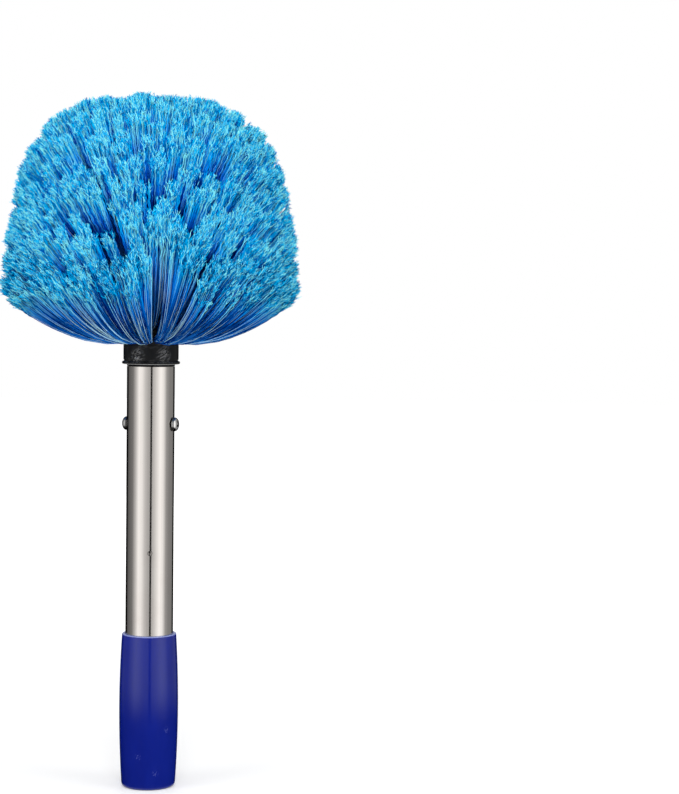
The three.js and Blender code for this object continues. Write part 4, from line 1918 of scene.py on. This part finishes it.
@dataclass
class Studio:
    """The white floor, the lamps, what gloss reflects, and the camera."""

    floor_ring: float = 300.0
    floor_radius: float = 4000.0
    floor_sides: int = 96
    floor_colour: Colour = (0.82, 0.82, 0.82)
    floor_glow: float = 0.22
    floor_glow_rise: float = 0.5
    floor_glow_run: Span = (0.1, 1.4)
    bowl_inner: float = 15.0
    bowl_foot: float = 0.5
    bowl_round: float = 60.0
    dark_radius: float = 165.0
    full_radius: float = 300.0
    bowl_radius: float = 450.0
    bowl_height: float = 900.0
    bowl_sides: int = 128
    bowl_strength: float = 1.45
    fill: float = 0.52
    lamp_aim: Place = (0.0, 0.0, 0.22)
    lamp_distance: float = 1.5
    lamps: tuple[Lamp, ...] = (
        Lamp("front_softbox", 0, 40, 0.6, 7.2),
        Lamp("low_softbox", 0, 4, 0.6, 4.3),
        Lamp("left_softbox", -60, 32, 0.8, 5.0),
        Lamp("right_softbox", 60, 32, 0.8, 5.0),
        Lamp("top_softbox", 0, 76, 1.0, 2.0),
        Lamp("back_softbox", 180, 15, 0.8, 6.0),
    )
    camera_place: Place = (0.0, -1.0, 0.245)
    camera_yaw: float = math.radians(5.435)
    camera_pitch: float = math.radians(2.720)
    camera_roll: float = math.radians(0.655)
    camera_lens: float = 90.03
    camera_sensor: float = 36.0
    camera_reach: Span = (0.01, 100.0)
    bands: tuple[Span, ...] = (
        (-180, 0.34), (-171, 0.28), (-163, 0.0), (-136, 0.0), (-129, 0.09), (-116, 0.115), (-92, 0.17),
        (-73, 0.48), (-56, 0.90), (-40, 0.82), (-25, 0.54), (-11, 0.40), (-1.5, 0.38), (-0.8, 0.0),
        (7.0, 0.0), (7.7, 0.42), (18, 0.51), (32, 0.72), (48, 0.95), (64, 0.79), (82, 0.30),
        (102, 0.205), (129, 0.18), (133, 0.17), (139, 0.0), (163, 0.0), (171, 0.28), (180, 0.34),
    )

    def staged(self, name: str, draft: Draft, material_name: str) -> tuple[bpy.types.Object, NodeSheet]:
        """Makes an object that isn't part of the brush.

        Args:
            name: the object's name.
            draft: its shape.
            material_name: its material's name.

        Returns:
            The object and the empty sheet of its material.
        """
        material = bpy.data.materials.new(material_name)
        material.use_nodes = True
        mesh = draft.mesh(name)
        mesh.materials.append(material)
        made = linked(name, mesh)
        return made, NodeSheet(material.node_tree)

    @staticmethod
    def level_place(sheet: NodeSheet) -> tuple[Wire, Wire, Wire]:
        """Returns a point's x and y and its distance from the axis, in metres."""
        across, deep, _ = sheet.split(sheet.place())
        return across, deep, (across * across + deep * deep) ** 0.5

    def build_floor(self) -> None:
        """Builds the floor: white to the camera and to gloss, with the object's shadow kept."""
        outline = [(radius, 0.0) for radius in (0.0, self.floor_ring, self.floor_radius)]
        draft = turned(outline, self.floor_sides, closed=False)
        _, sheet = self.staged("floor", draft, "white_floor")
        _, _, distance = self.level_place(sheet)
        glow = distance.between(*self.floor_glow_run) * self.floor_glow_rise + self.floor_glow
        lit = sheet.wire("ShaderNodeEmission", {"Color": WHITE, "Strength": sheet.looked_at() * glow})
        paper = sheet.wire("ShaderNodeBsdfDiffuse", {"Color": self.floor_colour})
        both = sheet.wire("ShaderNodeAddShader", {0: paper, 1: lit})
        sheet.node("ShaderNodeOutputMaterial", {"Surface": both})

    def build_bowl(self) -> None:
        """Builds the bowl of light and dark bands round the object, which only gloss can see."""
        corners = [
            (self.bowl_inner, self.bowl_foot, 0.0),
            (self.bowl_radius, self.bowl_foot, self.bowl_round),
            (self.bowl_radius, self.bowl_height, 0.0),
        ]
        draft = turned(rounded(corners, closed=False), self.bowl_sides, closed=False)
        bowl, sheet = self.staged("reflection_bowl", draft, "studio_bands")
        across, deep, distance = self.level_place(sheet)
        share = across.heading(deep * -1) / (2 * math.pi) + 0.5
        stops = tuple((heading / 360 + 0.5, (level,) * 3) for heading, level in self.bands)
        bands = sheet.ramp(share, stops)
        fade = distance.between(METRES * self.dark_radius, METRES * self.full_radius)
        lit = sheet.wire("ShaderNodeEmission", {"Color": bands, "Strength": fade * self.bowl_strength})
        sheet.node("ShaderNodeOutputMaterial", {"Surface": lit})
        bowl.active_material.cycles.emission_sampling = "NONE"
        bowl.visible_camera = False
        bowl.visible_diffuse = False
        bowl.visible_shadow = False
        bowl.visible_transmission = False

    def build_world(self) -> None:
        """Builds the surroundings: even fill light, and plain white behind the object."""
        world = bpy.data.worlds.new("studio")
        world.use_nodes = True
        bpy.context.scene.world = world
        sheet = NodeSheet(world.node_tree)
        strength = sheet.looked_at() * (1 - self.fill) + self.fill
        back = sheet.wire("ShaderNodeBackground", {"Color": WHITE, "Strength": strength})
        sheet.node("ShaderNodeOutputWorld", {"Surface": back})

    def build_camera(self) -> None:
        """Builds the camera at the picture's angle."""
        data = bpy.data.cameras.new("camera")
        data.sensor_width = self.camera_sensor
        data.lens = self.camera_lens
        data.clip_start, data.clip_end = self.camera_reach
        camera = linked("camera", data)
        level = math.pi / 2 - self.camera_pitch
        turn = Matrix.Rotation(-self.camera_yaw, 4, "Z") @ Matrix.Rotation(level, 4, "X")
        turn = turn @ Matrix.Rotation(self.camera_roll, 4, "Z")
        camera.matrix_world = Matrix.Translation(self.camera_place) @ turn
        bpy.context.scene.camera = camera

    def build(self) -> None:
        """Builds everything round the object."""
        self.build_camera()
        self.build_world()
        self.build_floor()
        self.build_bowl()
        for lamp in self.lamps:
            lamp.build(Vector(self.lamp_aim), self.lamp_distance)
        bpy.context.scene.view_settings.view_transform = "Standard"


def report(pieces: Sequence[bpy.types.Object]) -> None:
    """Logs each piece's name and how many faces it has."""
    for piece in pieces:
        LOG.info("%s: %d faces", piece.name, len(piece.data.polygons))


def main() -> None:
    """Builds the studio and dresses the brush from its mouth up."""
    logging.basicConfig(level=logging.INFO, format="%(name)s %(message)s")
    black = BlackMoulding("black_moulding")
    screw_steel = ScrewSteel("plated_screw")
    Studio().build()
    report([GripSleeve(GripPlastic("glossy_blue_grip")).build()])
    report([SocketInsert(InsertPlastic("grey_nylon_insert")).build()])
    report([PoleTube(TubeSteel("drawn_steel_tube")).build()])
    report([PanHeadScrew(screw_steel, side).build() for side in Side])
    report([HeadMoulding(black).build()])
    bristle, fan = BristleFilament("bristle_filament"), LitFanFilament("lit_fan_filament")
    report(BristleHead(bristle, fan, black).build())


if __name__ == "__main__":
    main()
